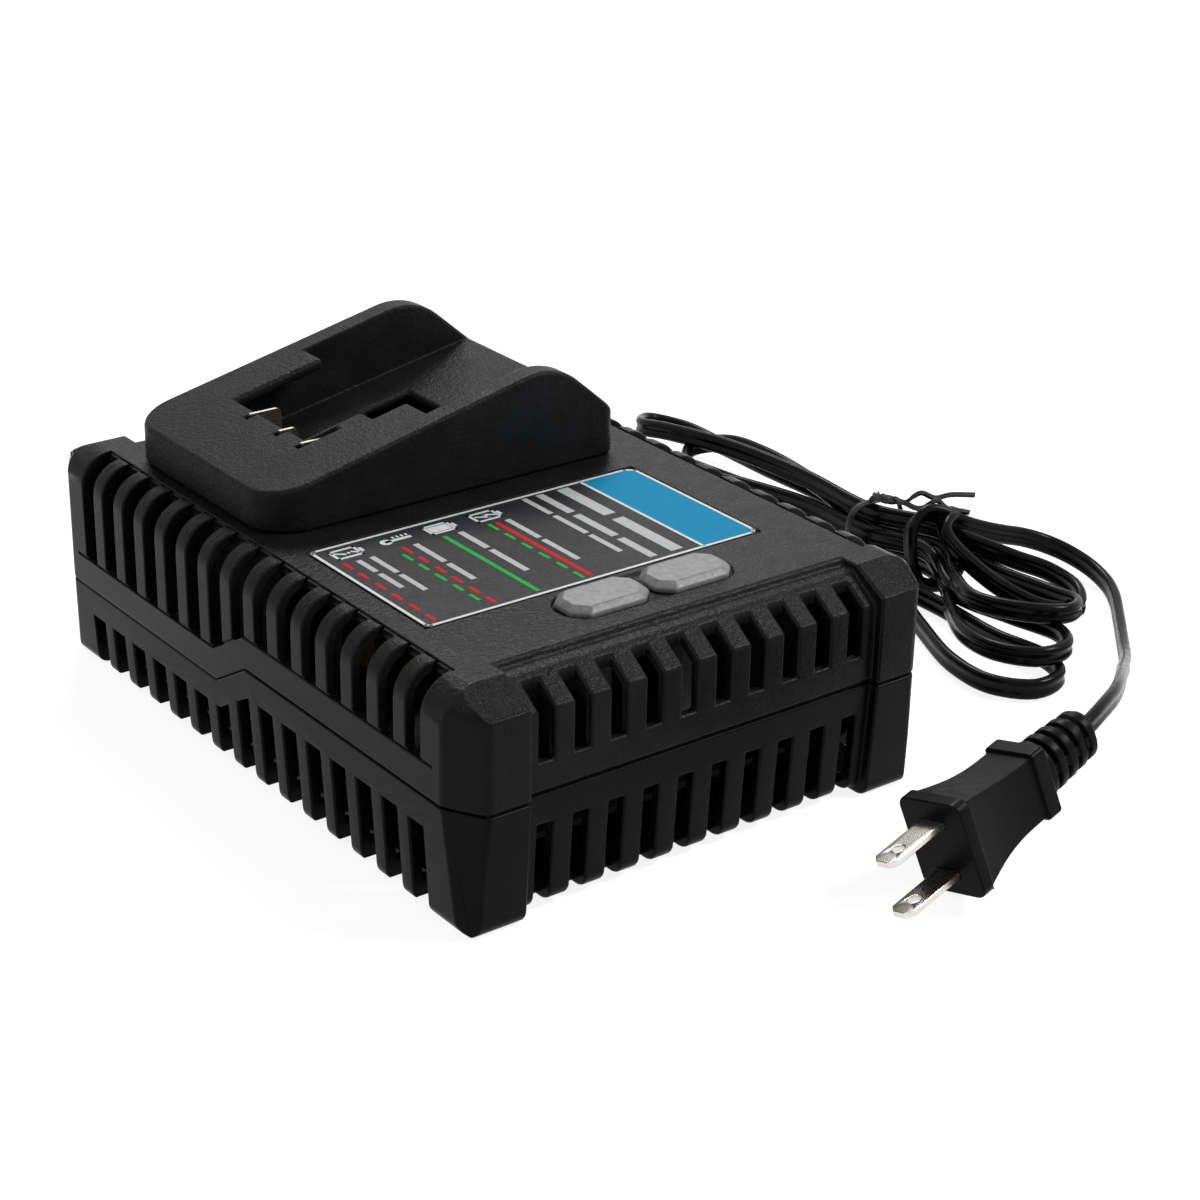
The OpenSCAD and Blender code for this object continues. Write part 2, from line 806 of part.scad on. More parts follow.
// Carrier that stands on the board and holds the contacts behind the dock's inner wall
module terminal_carrier() {
    x1 = well_x - dock_wall - fit;
    y0 = dock_y - front_blade_y - 4;
    y1 = dock_y + back_blade_y + 4;
    top = contact_top() - dock_wall - 3.5;
    color([0.05, 0.05, 0.05]) difference() {
        translate([x1 - carrier_t, y0, board_top]) cube([carrier_t, y1 - y0, top - board_top]);
        for (y = [-front_blade_y, -middle_blade_y, back_blade_y])
            translate([x1 - carrier_t + 2 - fit / 2, dock_y + y - blade_t / 2 - fit / 2, board_top - eps])
                cube([carrier_t, blade_t + fit, tall]);
    }
}

// One contact: a leg down to the board, a body in the carrier and a blade with a rounded nose
module contact(y, length) {
    x0 = well_x - dock_wall - fit - carrier_t + 2;
    top = contact_top() - dock_wall - 3.5;
    nose = 3;
    tip = well_x + length;
    bottom = contact_top() - blade_h;
    color([0.75, 0.72, 0.66]) along_y(dock_y + y - blade_t / 2, dock_y + y + blade_t / 2) polygon(concat(
        [[x0, board_top], [x0 + 3, board_top], [x0 + 3, bottom], [tip - nose / 2, bottom]],
        [[tip, bottom + nose / 2], [tip, contact_top() - nose]],
        arc([tip - nose / 2, contact_top() - nose / 2], nose / 2, 0, 90, 5),
        [[well_x - dock_wall, contact_top()], [well_x - dock_wall, top], [x0, top]]
    ));
}

module front_contact() {
    contact(-front_blade_y, blade_l);
}

module middle_contact() {
    contact(-middle_blade_y, blade_short_l);
}

module back_contact() {
    contact(back_blade_y, blade_l);
}

// ---- Label and lights ----

module label_recess(depth) {
    translate([label_x - label_gap, label_y - label_gap, body_h - depth])
        cube([label_l + 2 * label_gap, label_w + 2 * label_gap, depth + over]);
}

module label_plate() {
    cut = 2.4;
    x1 = label_x + label_l;
    y1 = label_y + label_w;
    color([0.16, 0.17, 0.18]) translate([0, 0, body_h - label_t - 0.1]) linear_extrude(label_t) polygon([
        [label_x, label_y], [x1, label_y], [x1, y1 - cut], [x1 - cut, y1], [label_x, y1]
    ]);
}

// Shallow bed around both lenses
module lens_recess() {
    bed = 0.6;
    r = lens_w / 2 + 0.7;
    half = lens_pitch / 2 + lens_l / 2 - r + 1.2;
    translate([lens_x, lens_y, body_h - bed]) {
        translate([-half, -r, 0]) cube([2 * half, 2 * r, over]);
        for (side = [-1, 1]) translate([side * half, 0, 0]) cylinder(h = over, r = r);
    }
}

// Cut-cornered lens outline, inset by g
module lens_outline(g) {
    hx = lens_l / 2 - g;
    hy = lens_w / 2 - g;
    c = lens_cut - 0.4 * g;
    polygon([
        [-hx, c - hy], [c - hx, -hy], [hx - c, -hy], [hx, c - hy],
        [hx, hy - c], [hx - c, hy], [c - hx, hy], [-hx, hy - c]
    ]);
}

// Lens cap with bevelled edges on a light guide that reaches down to the lamp
module lens(side) {
    bed = 0.6;
    cap_h = lens_h + bed;
    guide_end = board_top + led_h + 0.4;
    color([0.72, 0.74, 0.76]) translate([lens_x + side * lens_pitch / 2, lens_y, 0]) {
        hull() {
            translate([0, 0, body_h - bed]) linear_extrude(cap_h - 1.4) lens_outline(0);
            translate([0, 0, body_h - bed]) linear_extrude(cap_h) lens_outline(1.5);
        }
        translate([0, 0, guide_end]) cylinder(h = body_h - bed - guide_end + 0.2, r = guide_r);
    }
}

module left_lens() {
    lens(-1);
}

module right_lens() {
    lens(1);
}

// Round-topped lamp on the board, under a light guide
module lamp(side, tint) {
    color(tint) translate([lens_x + side * lens_pitch / 2, lens_y, board_top]) {
        cylinder(h = 1, r = led_r + 0.4);
        rotate_extrude() intersection() {
            union() {
                square([led_r, led_h - led_r]);
                translate([0, led_h - led_r]) circle(led_r);
            }
            square([led_r, led_h]);
        }
    }
}

module left_led() {
    lamp(-1, [0.75, 0.1, 0.1]);
}

module right_led() {
    lamp(1, [0.1, 0.6, 0.2]);
}

// ---- Electronics ----

module circuit_board() {
    color([0.07, 0.3, 0.16]) difference() {
        translate([-board_w / 2, -board_l / 2, board_z]) cube([board_w, board_l, board_t]);
        four_corners() translate([board_hole_x, board_hole_y, board_z - eps])
            cylinder(h = board_t + 2 * eps, r = screw_r + 2 * fit);
    }
}

// Closed ferrite core with a middle leg
module transformer_core() {
    color([0.2, 0.2, 0.2]) translate([transformer_at.x, transformer_at.y, board_top]) difference() {
        translate([-core_w / 2, -core_depth / 2, 0]) cube([core_w, core_depth, core_h]);
        both_sides() translate([core_leg / 2, -core_depth, core_rim])
            cube([core_window, 2 * core_depth, core_h - 2 * core_rim]);
    }
}

// Taped winding around the core's middle leg
module transformer_winding() {
    out = core_window - 0.6;
    color([0.85, 0.75, 0.2]) translate([transformer_at.x, transformer_at.y, board_top + core_rim]) difference() {
        translate([-core_leg / 2 - out, -core_depth / 2 - out, 0])
            cube([core_leg + 2 * out, core_depth + 2 * out, core_h - 2 * core_rim]);
        translate([-core_leg / 2 - fit, -core_depth / 2 - fit, -eps])
            cube([core_leg + 2 * fit, core_depth + 2 * fit, core_h]);
    }
}

// Round can with a rolled groove near its foot
module capacitor(at, r, h, tint) {
    color(tint) translate([at.x, at.y, board_top]) difference() {
        cylinder(h = h, r = r);
        translate([0, 0, 2.6]) rotate_extrude() translate([r + 0.3, 0]) circle(0.9);
        translate([0, 0, h - 0.5]) cylinder(h = 1, r = r * 0.75);
    }
}

module input_capacitor() {
    capacitor(input_cap_at, input_cap_r, input_cap_h, [0.1, 0.12, 0.35]);
}

module output_capacitor_1() {
    capacitor(output_cap_at, output_cap_r, output_cap_h, [0.12, 0.2, 0.3]);
}

module output_capacitor_2() {
    capacitor(output_cap_at + [output_cap_pitch, 0], output_cap_r, output_cap_h, [0.12, 0.2, 0.3]);
}

// Ring core with its windings as two thicker halves
module choke() {
    ring_r = 8;
    bar_r = 3.2;
    color([0.7, 0.4, 0.15]) translate([choke_at.x, choke_at.y, board_top + bar_r]) {
        rotate_extrude() translate([ring_r, 0]) circle(bar_r);
        translate([0, 0, -bar_r]) cylinder(h = 1.5, r = ring_r);
    }
}

// Finned extrusion standing on the board
module heat_sink() {
    base_t = 3;
    fin_l = 9;
    fins = 13;
    color([0.7, 0.71, 0.73]) translate([sink_at.x, sink_at.y - sink_l / 2, board_top]) {
        cube([base_t, sink_l, sink_h]);
        for (i = [0:fins - 1]) translate([0, i * (sink_l - 2) / (fins - 1), 0]) cube([base_t + fin_l, 2, sink_h]);
    }
}

// Three-legged switching transistor, clamped flat to the sink
module power_transistor() {
    tab_t = 1.3;
    body_t = 4.4;
    tab_w = 10.2;
    legs_h = 6;
    body_h = 9;
    tab_h = 15.5;
    leg_pitch = 2.54;
    leg_w = 0.8;
    color([0.1, 0.1, 0.1]) translate([sink_at.x, sink_at.y, board_top]) {
        translate([-body_t, -tab_w / 2, legs_h]) cube([body_t, tab_w, body_h]);
        translate([-tab_t, -tab_w / 2, legs_h]) cube([tab_t, tab_w, tab_h]);
        for (i = [-1, 0, 1]) translate([-(body_t + leg_w) / 2, i * leg_pitch - leg_w / 2, 0])
            cube([leg_w, leg_w, legs_h + 1]);
    }
}

// Flat rectifier block on four legs
module bridge_rectifier() {
    legs_h = 3;
    block = [4, 22, 15];
    leg_pitch = 5.5;
    color([0.1, 0.1, 0.1]) translate([rectifier_at.x, rectifier_at.y, board_top]) {
        translate([-block.x / 2, -block.y / 2, legs_h]) cube(block);
        for (i = [-1.5:1:1.5]) translate([-0.5, i * leg_pitch - 0.5, 0]) cube([1, 1, legs_h + 1]);
    }
}

// Glass tube with metal end caps
module fuse() {
    color([0.85, 0.87, 0.88]) translate([fuse_at.x - 10, fuse_at.y, board_top + fuse_lift]) rotate([0, 90, 0]) {
        cylinder(h = 20, r = fuse_r - 0.25);
        for (x = [0, 14.5]) translate([0, 0, x]) cylinder(h = 5.5, r = fuse_r);
    }
}

// Spring clips that hold the fuse's caps
module fuse_clips() {
    color([0.78, 0.72, 0.55]) for (x = [-8.8, 6.2]) translate([fuse_at.x + x, fuse_at.y, board_top]) difference() {
        translate([0, -fuse_r - 0.8, 0]) cube([2.6, 2 * fuse_r + 1.6, fuse_lift + fuse_r]);
        translate([-eps, 0, fuse_lift]) rotate([0, 90, 0]) cylinder(h = over, r = fuse_r + fit / 2);
        translate([-eps, 0.6 - fuse_r, fuse_lift]) cube([9, 2 * fuse_r - 1.2, 9]);
    }
}

// Two-way screw terminal for the mains wires
module inlet_block() {
    color([0.1, 0.35, 0.2]) translate([inlet_at.x, inlet_at.y, board_top]) difference() {
        translate([-6, -4, 0]) cube([12, 8, 11]);
        for (x = [-2.9, 2.9]) translate([x, 0, 0]) {
            translate([0, 0, 5]) cylinder(h = over, r = 1.9);
            translate([0, 0, 3.4]) rotate([-90, 0, 0]) cylinder(h = over, r = 1.4);
        }
    }
}

// Pan-head screw pointing up from z = 0 at its head's seat, or down when flipped
module screw(length) {
    translate([0, 0, -head_h]) cylinder(h = head_h, r = head_r);
    cylinder(h = length, r = screw_r);
}

module board_screws() {
    color([0.6, 0.6, 0.62]) four_corners() translate([board_hole_x, board_hole_y, board_top])
        mirror([0, 0, 1]) screw(board_t + board_up - 1);
}

module housing_screws() {
    color([0.2, 0.2, 0.21]) four_corners() translate([boss_x, boss_y, boss_floor - wall])
        screw(seam_high + 12 - boss_floor);
}

// ---- Mains cord ----

// Gland in the back wall: inner shoulder, neck and ribbed sleeve
module cord_gland() {
    rim = 1.4;
    tilt_gap = (gland_r + rim) * base_draft / seam_high + 0.1;
    color([0.05, 0.05, 0.05]) translate([gland_x, gland_y - wall, gland_z]) rotate([-90, 0, 0]) {
        translate([0, 0, -2.2 - tilt_gap]) cylinder(h = 2.2, r = gland_r + rim);
        translate([0, 0, -tilt_gap - eps]) cylinder(h = wall + 2 * tilt_gap + 2 * eps, r = gland_r);
        translate([0, 0, wall + tilt_gap]) cylinder(h = 1.6, r = gland_r + rim);
        cylinder(h = wall + gland_out, r = 3.6);
        for (i = [0:2]) translate([0, 0, wall + 3.6 + 2.6 * i]) cylinder(h = 1.3, r = gland_r - 0.3 - 0.3 * i);
    }
}

// One ring of the flat cord's tube at point i of a route
function cord_ring(route, i) =
    let(
        last = len(route) - 1,
        before = route[max(i - 1, 0)],
        after = route[min(i + 1, last)],
        along = unit(after - before),
        side = unit(cross(along, [0, 0, 1])),
        up = cross(side, along)
    )
    [for (k = [0:9]) route[i] + cord_w / 2 * cos(36 * k) * side + cord_t / 2 * sin(36 * k) * up];

// Flat cord swept along a route
module cord_tube(route) {
    sides = 10;
    last = len(route) - 1;
    points = [for (i = [0:last]) each cord_ring(route, i)];
    walls = [for (i = [0:last - 1]) for (k = [0:sides - 1])
        let(a = i * sides + k, b = i * sides + (k + 1) % sides)
        [a, b, b + sides, a + sides]];
    caps = [[for (k = [sides - 1:-1:0]) k], [for (k = [0:sides - 1]) last * sides + k]];
    color([0.04, 0.04, 0.04]) polyhedron(points, concat(walls, caps), convexity = 6);
}

module power_cord() {
    cord_tube(exit_route);
}

module cord_lead() {
    cord_tube(concat(lead_route, [plug_tail()]));
}

// Outline of the hank: round ends and a narrow waist where it is tied
module hank_outline() {
    hull() {
        translate(hank_far) circle(hank_far_r);
        translate(hank_waist) circle(hank_waist_r);
    }
    hull() {
        translate(hank_near) circle(hank_near_r);
        translate(hank_waist) circle(hank_waist_r);
    }
}

// Band around the hank's waist; extra widens it into the seat that the hank leaves for it
module tie_band(extra) {
    span = hank_waist_r + 12;
    translate([hank_waist.x - span, hank_waist.y - tie_w / 2 - extra, -eps]) difference() {
        cube([2 * span, tie_w + 2 * extra, hank_h + 2 * eps]);
        translate([span - hank_waist_r + tie_t + extra, -eps, eps + tie_t + extra])
            cube([2 * (hank_waist_r - tie_t - extra), tall, hank_h - 2 * tie_t - 2 * extra]);
    }
}

module cord_hank() {
    color([0.04, 0.04, 0.04]) difference() {
        linear_extrude(hank_h) hank_outline();
        tie_band(fit);
    }
}

// Wire tie: a flat band around the waist and the start of its twisted tails
module cord_tie() {
    half = hank_waist_r;
    tail = 7;
    color([0.03, 0.03, 0.03]) {
        translate([hank_waist.x, hank_waist.y, 0]) difference() {
            translate([-half, -tie_w / 2, 0]) cube([2 * half, tie_w, hank_h]);
            translate([tie_t - half, -tie_w, tie_t]) cube([2 * (half - tie_t), 2 * tie_w, hank_h - 2 * tie_t]);
        }
        translate([hank_waist.x + half - tie_t, hank_waist.y, hank_h - tie_t])
            rotate([90, 0, 60]) cylinder(h = tail, r = tie_t / 2);
    }
}

// ---- Plug ----

// Places a plug piece; its own X runs from the face back along the cord, Z across the two blades
module on_plug() {
    translate(plug_at) rotate(plug_turn) children();
}

// Far end of the relief, where the cord leaves the plug
function plug_tail() =
    let(c = [for (a = plug_turn) cos(a)], s = [for (a = plug_turn) sin(a)])
    plug_at + relief_end * [c.y * c.z, c.y * s.z, -s.y];

// Half outline of the grip: a taper from half a to half b with a finger scoop in it
function grip_edge(a, b) =
    [for (i = [0:10]) let(t = i / 10) [flange_t - fit + (grip_l + 2 * fit) * t, a + (b - a) * t - scoop * sin(180 * t)]];

// Grip seen from one side, closed by its mirror image
module grip_outline(a, b) {
    edge = grip_edge(a, b);
    polygon(concat(edge, [for (i = [len(edge) - 1:-1:0]) [edge[i].x, -edge[i].y]]));
}

// Round-cornered plate across the plug's axis, at x, of length l
module plug_plate(x, l, w, h, r) {
    far = [w / 2, h / 2];
    near = far - [r, r];
    translate([x, 0, 0]) rotate([90, 0, 90]) linear_extrude(l) polygon(concat(
        arc([near.x, near.y], r, 0, 90, 5), arc([-near.x, near.y], r, 90, 180, 5),
        arc([-near.x, -near.y], r, 180, 270, 5), arc([near.x, -near.y], r, 270, 360, 5)
    ));
}

module plug_body() {
    lip = 0.9;
    color([0.05, 0.05, 0.05]) on_plug() difference() {
        union() {
            plug_plate(0, flange_t, plug_w, plug_h, 2.6);
            intersection() {
                rotate([90, 0, 0]) translate([0, 0, -plug_w])
                    linear_extrude(2 * plug_w) grip_outline(plug_h / 2 - lip, collar_h / 2 - lip);
                translate([0, 0, -plug_h])
                    linear_extrude(2 * plug_h) grip_outline(plug_w / 2 - lip, collar_w / 2 - lip);
            }
            plug_plate(grip_end, collar_l, collar_w, collar_h, 1.2);
        }
        for (side = [-1, 1]) translate([-eps, -pin_w / 2 - fit / 2, side * pin_pitch / 2 - pin_t / 2 - fit / 2])
            cube([flange_t + pin_root + eps, pin_w + fit, pin_t + fit]);
    }
}

// Flat-sided sleeve section with round ends, at x, of length l
module sleeve(x, l, w, h) {
    translate([x, 0, 0]) rotate([90, 0, 90]) linear_extrude(l) {
        square([w, h - w], center = true);
        for (side = [-1, 1]) translate([0, side * (h - w) / 2]) circle(w / 2);
    }
}

module plug_relief() {
    step = relief_l / relief_ribs;
    bar_w = 10.2;
    bar_h = 2.6;
    color([0.05, 0.05, 0.05]) on_plug() {
        sleeve(collar_end, relief_l, 8.4, 10.8);
        for (i = [0:relief_ribs - 1])
            sleeve(collar_end + step * i + 0.4, step * 0.6, 12 - 0.4 * i, 14.4 - 0.55 * i);
        translate([collar_end, -bar_w / 2, -bar_h / 2]) cube([relief_l - step / 2, bar_w, bar_h]);
    }
}

// Blades with clipped tips, a hole each, and roots in the plug
module plug_blades() {
    clip = 1.5;
    color([0.8, 0.78, 0.74]) on_plug() for (side = [-1, 1])
        translate([0, 0, side * pin_pitch / 2 - pin_t / 2]) linear_extrude(pin_t) difference() {
            polygon([
                [clip - pin_l, -pin_w / 2], [flange_t + pin_root, -pin_w / 2], [flange_t + pin_root, pin_w / 2],
                [clip - pin_l, pin_w / 2], [-pin_l, pin_w / 2 - clip], [-pin_l, clip - pin_w / 2]
            ]);
            translate([-pin_hole_x, 0]) circle(pin_hole_r);
        }
}

lower_housing();
upper_housing();
battery_dock();
terminal_carrier();
front_contact();
middle_contact();
back_contact();
label_plate();
left_lens();
right_lens();
left_led();
right_led();
circuit_board();
transformer_core();
transformer_winding();
input_capacitor();
output_capacitor_1();
output_capacitor_2();
choke();
heat_sink();
power_transistor();
bridge_rectifier();
fuse();
fuse_clips();
inlet_block();
board_screws();
housing_screws();
cord_gland();
power_cord();
cord_hank();
cord_tie();
cord_lead();
plug_body();
plug_relief();
plug_blades();
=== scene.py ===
"""Looks of the charging station: moulded edges, plastics, printed label, mains cord, wire tie and plug.

Pieces are given in millimetres and written in metres. Camera, lamps and floor are given in metres.
"""
import bpy
import bmesh
import numpy as np
from mathutils import Matrix, Vector


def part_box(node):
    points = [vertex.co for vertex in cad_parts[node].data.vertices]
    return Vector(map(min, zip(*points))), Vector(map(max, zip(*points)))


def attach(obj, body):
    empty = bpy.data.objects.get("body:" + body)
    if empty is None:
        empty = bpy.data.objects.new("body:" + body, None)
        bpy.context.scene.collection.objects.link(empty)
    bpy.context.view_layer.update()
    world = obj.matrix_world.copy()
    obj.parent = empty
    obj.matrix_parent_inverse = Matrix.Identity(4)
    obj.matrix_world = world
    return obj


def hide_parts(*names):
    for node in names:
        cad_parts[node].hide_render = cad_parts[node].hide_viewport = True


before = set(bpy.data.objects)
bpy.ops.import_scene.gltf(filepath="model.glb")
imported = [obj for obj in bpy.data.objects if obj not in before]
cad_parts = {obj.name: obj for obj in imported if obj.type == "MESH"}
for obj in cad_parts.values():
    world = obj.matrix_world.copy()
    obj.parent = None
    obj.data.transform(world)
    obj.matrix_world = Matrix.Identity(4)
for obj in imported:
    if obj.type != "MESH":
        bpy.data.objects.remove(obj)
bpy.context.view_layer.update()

MM = 0.001
BODY = "charger"
UPRIGHT = np.array((0.0, 0.0, 1.0))


# ---- Camera, lamps, room and floor ----

LENS_MM = 80.8
SENSOR_MM = 36
CAMERA_AT = (-0.3369, -0.4902, 0.3002)
CAMERA_RIGHT = (0.7984, -0.6019, 0.0173)
CAMERA_UP = (0.2366, 0.3398, 0.9102)

LAMPS_FACE = (0.02, 0, 0.04)
# Place, side of the square, and power in watts
LAMPS = {
    "key": ((0.42, 0.62, 0.85), 0.35, 6),
    "front": ((0.62, -0.5, 0.8), 0.3, 9),
    "side": ((-0.95, 0.2, 0.6), 0.4, 2),
}

WHITE = (1, 1, 1, 1)
ROOM_LIGHT = 0.3
FLOOR_HALF = 6.0
FLOOR_GREY = (0.35, 0.35, 0.35, 1)
FLOOR_ROUGHNESS = 0.9
FLOOR_GLOW = 0.86


def aim_camera():
    """Long lens above the front left corner, slightly rolled; right and up are written as unit vectors."""
    data = bpy.data.cameras.new("camera")
    data.lens = LENS_MM
    data.sensor_width = SENSOR_MM
    camera = bpy.data.objects.new("camera", data)
    right = Vector(CAMERA_RIGHT)
    up = Vector(CAMERA_UP)
    pose = Matrix((right, up, right.cross(up))).transposed().to_4x4()
    pose.translation = Vector(CAMERA_AT)
    camera.matrix_world = pose
    bpy.context.scene.collection.objects.link(camera)
    bpy.context.scene.camera = camera


def add_lamp(name, at, side, power):
    """Square soft lamp that faces the middle of the housing."""
    data = bpy.data.lights.new(name, "AREA")
    data.shape = "SQUARE"
    data.size = side
    data.energy = power
    lamp = bpy.data.objects.new(name, data)
    place = Vector(at)
    lamp.location = place
    lamp.rotation_euler = (Vector(LAMPS_FACE) - place).to_track_quat("-Z", "Y").to_euler()
    bpy.context.scene.collection.objects.link(lamp)


def seen_directly(tree):
    """1 for camera, glossy and transmission rays, 0 for the rays that light the object."""
    path = tree.nodes.new("ShaderNodeLightPath")
    seen = path.outputs["Is Camera Ray"]
    for ray in ("Is Glossy Ray", "Is Transmission Ray"):
        either = tree.nodes.new("ShaderNodeMath")
        either.operation = "MAXIMUM"
        tree.links.new(seen, either.inputs[0])
        tree.links.new(path.outputs[ray], either.inputs[1])
        seen = either.outputs[0]
    return seen


def light_room():
    """White all round for what looks at it directly, and an even soft light for the object."""
    world = bpy.data.worlds.new("room")
    world.use_nodes = True
    world.cycles.sampling_method = "NONE"
    tree = world.node_tree
    background = tree.nodes["Background"]
    background.inputs["Color"].default_value = WHITE
    level = tree.nodes.new("ShaderNodeMapRange")
    level.inputs["To Min"].default_value = ROOM_LIGHT
    level.inputs["To Max"].default_value = 1.0
    tree.links.new(seen_directly(tree), level.inputs["Value"])
    tree.links.new(level.outputs["Result"], background.inputs["Strength"])
    bpy.context.scene.world = world


def lay_floor():
    """Plain pale floor: most of its white is its own glow, seen directly; the rest carries the shadow."""
    near, far = -FLOOR_HALF, FLOOR_HALF
    mesh = bpy.data.meshes.new("floor")
    mesh.from_pydata([(near, near, 0), (far, near, 0), (far, far, 0), (near, far, 0)], [], [(0, 1, 2, 3)])
    floor = bpy.data.objects.new("floor", mesh)
    bpy.context.scene.collection.objects.link(floor)
    paint = bpy.data.materials.new("floor_white")
    paint.use_nodes = True
    paint.cycles.emission_sampling = "NONE"
    tree = paint.node_tree
    shader = tree.nodes["Principled BSDF"]
    shader.inputs["Base Color"].default_value = FLOOR_GREY
    shader.inputs["Roughness"].default_value = FLOOR_ROUGHNESS
    shader.inputs["Specular IOR Level"].default_value = 0
    glow = tree.nodes.new("ShaderNodeEmission")
    glow.inputs["Color"].default_value = WHITE
    strength = tree.nodes.new("ShaderNodeMath")
    strength.operation = "MULTIPLY"
    strength.inputs[1].default_value = FLOOR_GLOW
    both = tree.nodes.new("ShaderNodeAddShader")
    tree.links.new(seen_directly(tree), strength.inputs[0])
    tree.links.new(strength.outputs[0], glow.inputs["Strength"])
    tree.links.new(shader.outputs[0], both.inputs[0])
    tree.links.new(glow.outputs[0], both.inputs[1])
    tree.links.new(both.outputs[0], tree.nodes["Material Output"].inputs["Surface"])
    mesh.materials.append(paint)


# ---- Materials ----

# Where most values of a noise lie
NOISE_RANGE = (0.3, 0.7)
# A normal's part along an axis, from where its face begins to look that way to where it fully does
FACING_RANGE = (0.6, 0.95)

# Roughness and grain of the long ribbed sides, and grain of the ends, as shares of the top's
SIDE_ROUGHNESS = 0.72
SIDE_GRAIN = 0.12
END_GRAIN = 0.45


def grey(tone, blue=1.0):
    """Grey of one tone, with its blue part raised by a factor."""
    return tone, tone, tone * blue


class Finish:
    """A material whose nodes are added one after another; positions are read from Object coordinates."""

    def __init__(self, name, roughness, metallic=0.0, specular=0.5):
        self.material = bpy.data.materials.new(name)
        self.material.use_nodes = True
        self.tree = self.material.node_tree
        self.shader = self.tree.nodes["Principled BSDF"]
        self.shader.inputs["Roughness"].default_value = roughness
        self.shader.inputs["Metallic"].default_value = metallic
        self.shader.inputs["Specular IOR Level"].default_value = specular
        self.place = self.node("ShaderNodeTexCoord").outputs["Object"]
        self.relief = None

    def node(self, kind, **values):
        """New node with some of its properties set."""
        made = self.tree.nodes.new(kind)
        for key, value in values.items():
            setattr(made, key, value)
        return made

    def link(self, source, target):
        """Joins an output to an input."""
        self.tree.links.new(source, target)

    def noise(self, size, detail, stretch=(1, 1, 1)):
        """Noise with grains about size millimetres wide, longer along an axis where stretch is below 1."""
        mapping = self.node("ShaderNodeMapping")
        mapping.inputs["Scale"].default_value = tuple(part / (size * MM) for part in stretch)
        self.link(self.place, mapping.inputs["Vector"])
        texture = self.node("ShaderNodeTexNoise")
        texture.inputs["Scale"].default_value = 1.0
        texture.inputs["Detail"].default_value = detail
        self.link(mapping.outputs["Vector"], texture.inputs["Vector"])
        return texture.outputs["Fac"]

    def spread(self, value, low, high, taken=NOISE_RANGE):
        """Stretches a value so that the taken range fills low to high."""
        span = self.node("ShaderNodeMapRange")
        span.inputs["From Min"].default_value = taken[0]
        span.inputs["From Max"].default_value = taken[1]
        span.inputs["To Min"].default_value = low
        span.inputs["To Max"].default_value = high
        self.link(value, span.inputs["Value"])
        return span.outputs["Result"]

    def sideways(self, axis, share):
        """Share on faces that look along an axis, 1 on the rest, and a blend between."""
        parts = self.node("ShaderNodeSeparateXYZ")
        self.link(self.node("ShaderNodeNewGeometry").outputs["Normal"], parts.inputs[0])
        size = self.node("ShaderNodeMath", operation="ABSOLUTE")
        self.link(parts.outputs[axis], size.inputs[0])
        return self.spread(size.outputs[0], 1.0, share, FACING_RANGE)

    def product(self, first, second):
        """One value times another."""
        both = self.node("ShaderNodeMath", operation="MULTIPLY")
        self.link(first, both.inputs[0])
        self.link(second, both.inputs[1])
        return both.outputs[0]

    def vary_colour(self, value, low, high):
        """Base colour between two tones, by a value."""
        mix = self.node("ShaderNodeMix", data_type="RGBA")
        mix.inputs["A"].default_value = (*low, 1)
        mix.inputs["B"].default_value = (*high, 1)
        self.link(self.spread(value, 0, 1), mix.inputs["Factor"])
        self.link(mix.outputs["Result"], self.shader.inputs["Base Color"])

    def vary_roughness(self, value, low, high, share=None):
        """Roughness between two levels, by a value; share, if given, lessens it in places."""
        level = self.spread(value, low, high)
        if share:
            level = self.product(level, share)
        self.link(level, self.shader.inputs["Roughness"])

    def bump(self, value, depth, share=None):
        """Adds relief, depth in millimetres, to what is there; share, if given, lessens it in places."""
        added = self.node("ShaderNodeBump")
        added.inputs["Strength"].default_value = 1.0
        added.inputs["Distance"].default_value = depth * MM
        self.link(value, added.inputs["Height"])
        if share:
            self.link(share, added.inputs["Strength"])
        if self.relief:
            self.link(self.relief, added.inputs["Normal"])
        self.relief = added.outputs["Normal"]
        self.link(self.relief, self.shader.inputs["Normal"])


def moulded_plastic(name, tone, roughness, grain, depth, specular, ribbed_sides=False):
    """Black moulded plastic: spark-eroded grain of two sizes and uneven gloss, smoother on ribbed sides."""
    made = Finish(name, roughness, specular=specular)
    gloss, share = None, None
    if ribbed_sides:
        gloss = made.sideways("X", SIDE_ROUGHNESS)
        share = made.product(made.sideways("X", SIDE_GRAIN), made.sideways("Y", END_GRAIN))
    made.vary_colour(made.noise(size=9, detail=4), grey(tone * 0.8), grey(tone * 1.3, blue=1.077))
    made.vary_roughness(made.noise(size=5, detail=5), roughness - 0.05, roughness + 0.08, gloss)
    made.bump(made.noise(size=grain * 3, detail=2), depth * 1.6, share)
    made.bump(made.noise(size=grain, detail=2), depth, share)
    return made.material


def flexible_vinyl(name, tone, roughness, specular=0.3):
    """Cord and plug vinyl: smooth, faintly wavy, with fine grain over it."""
    made = Finish(name, roughness, specular=specular)
    made.vary_colour(made.noise(size=6, detail=3), grey(tone * 0.75), grey(tone * 1.3, blue=1.046))
    made.vary_roughness(made.noise(size=2.5, detail=3), roughness - 0.06, roughness + 0.1)
    made.bump(made.noise(size=3, detail=2), depth=0.012)
    made.bump(made.noise(size=0.3, detail=2), depth=0.004)
    return made.material


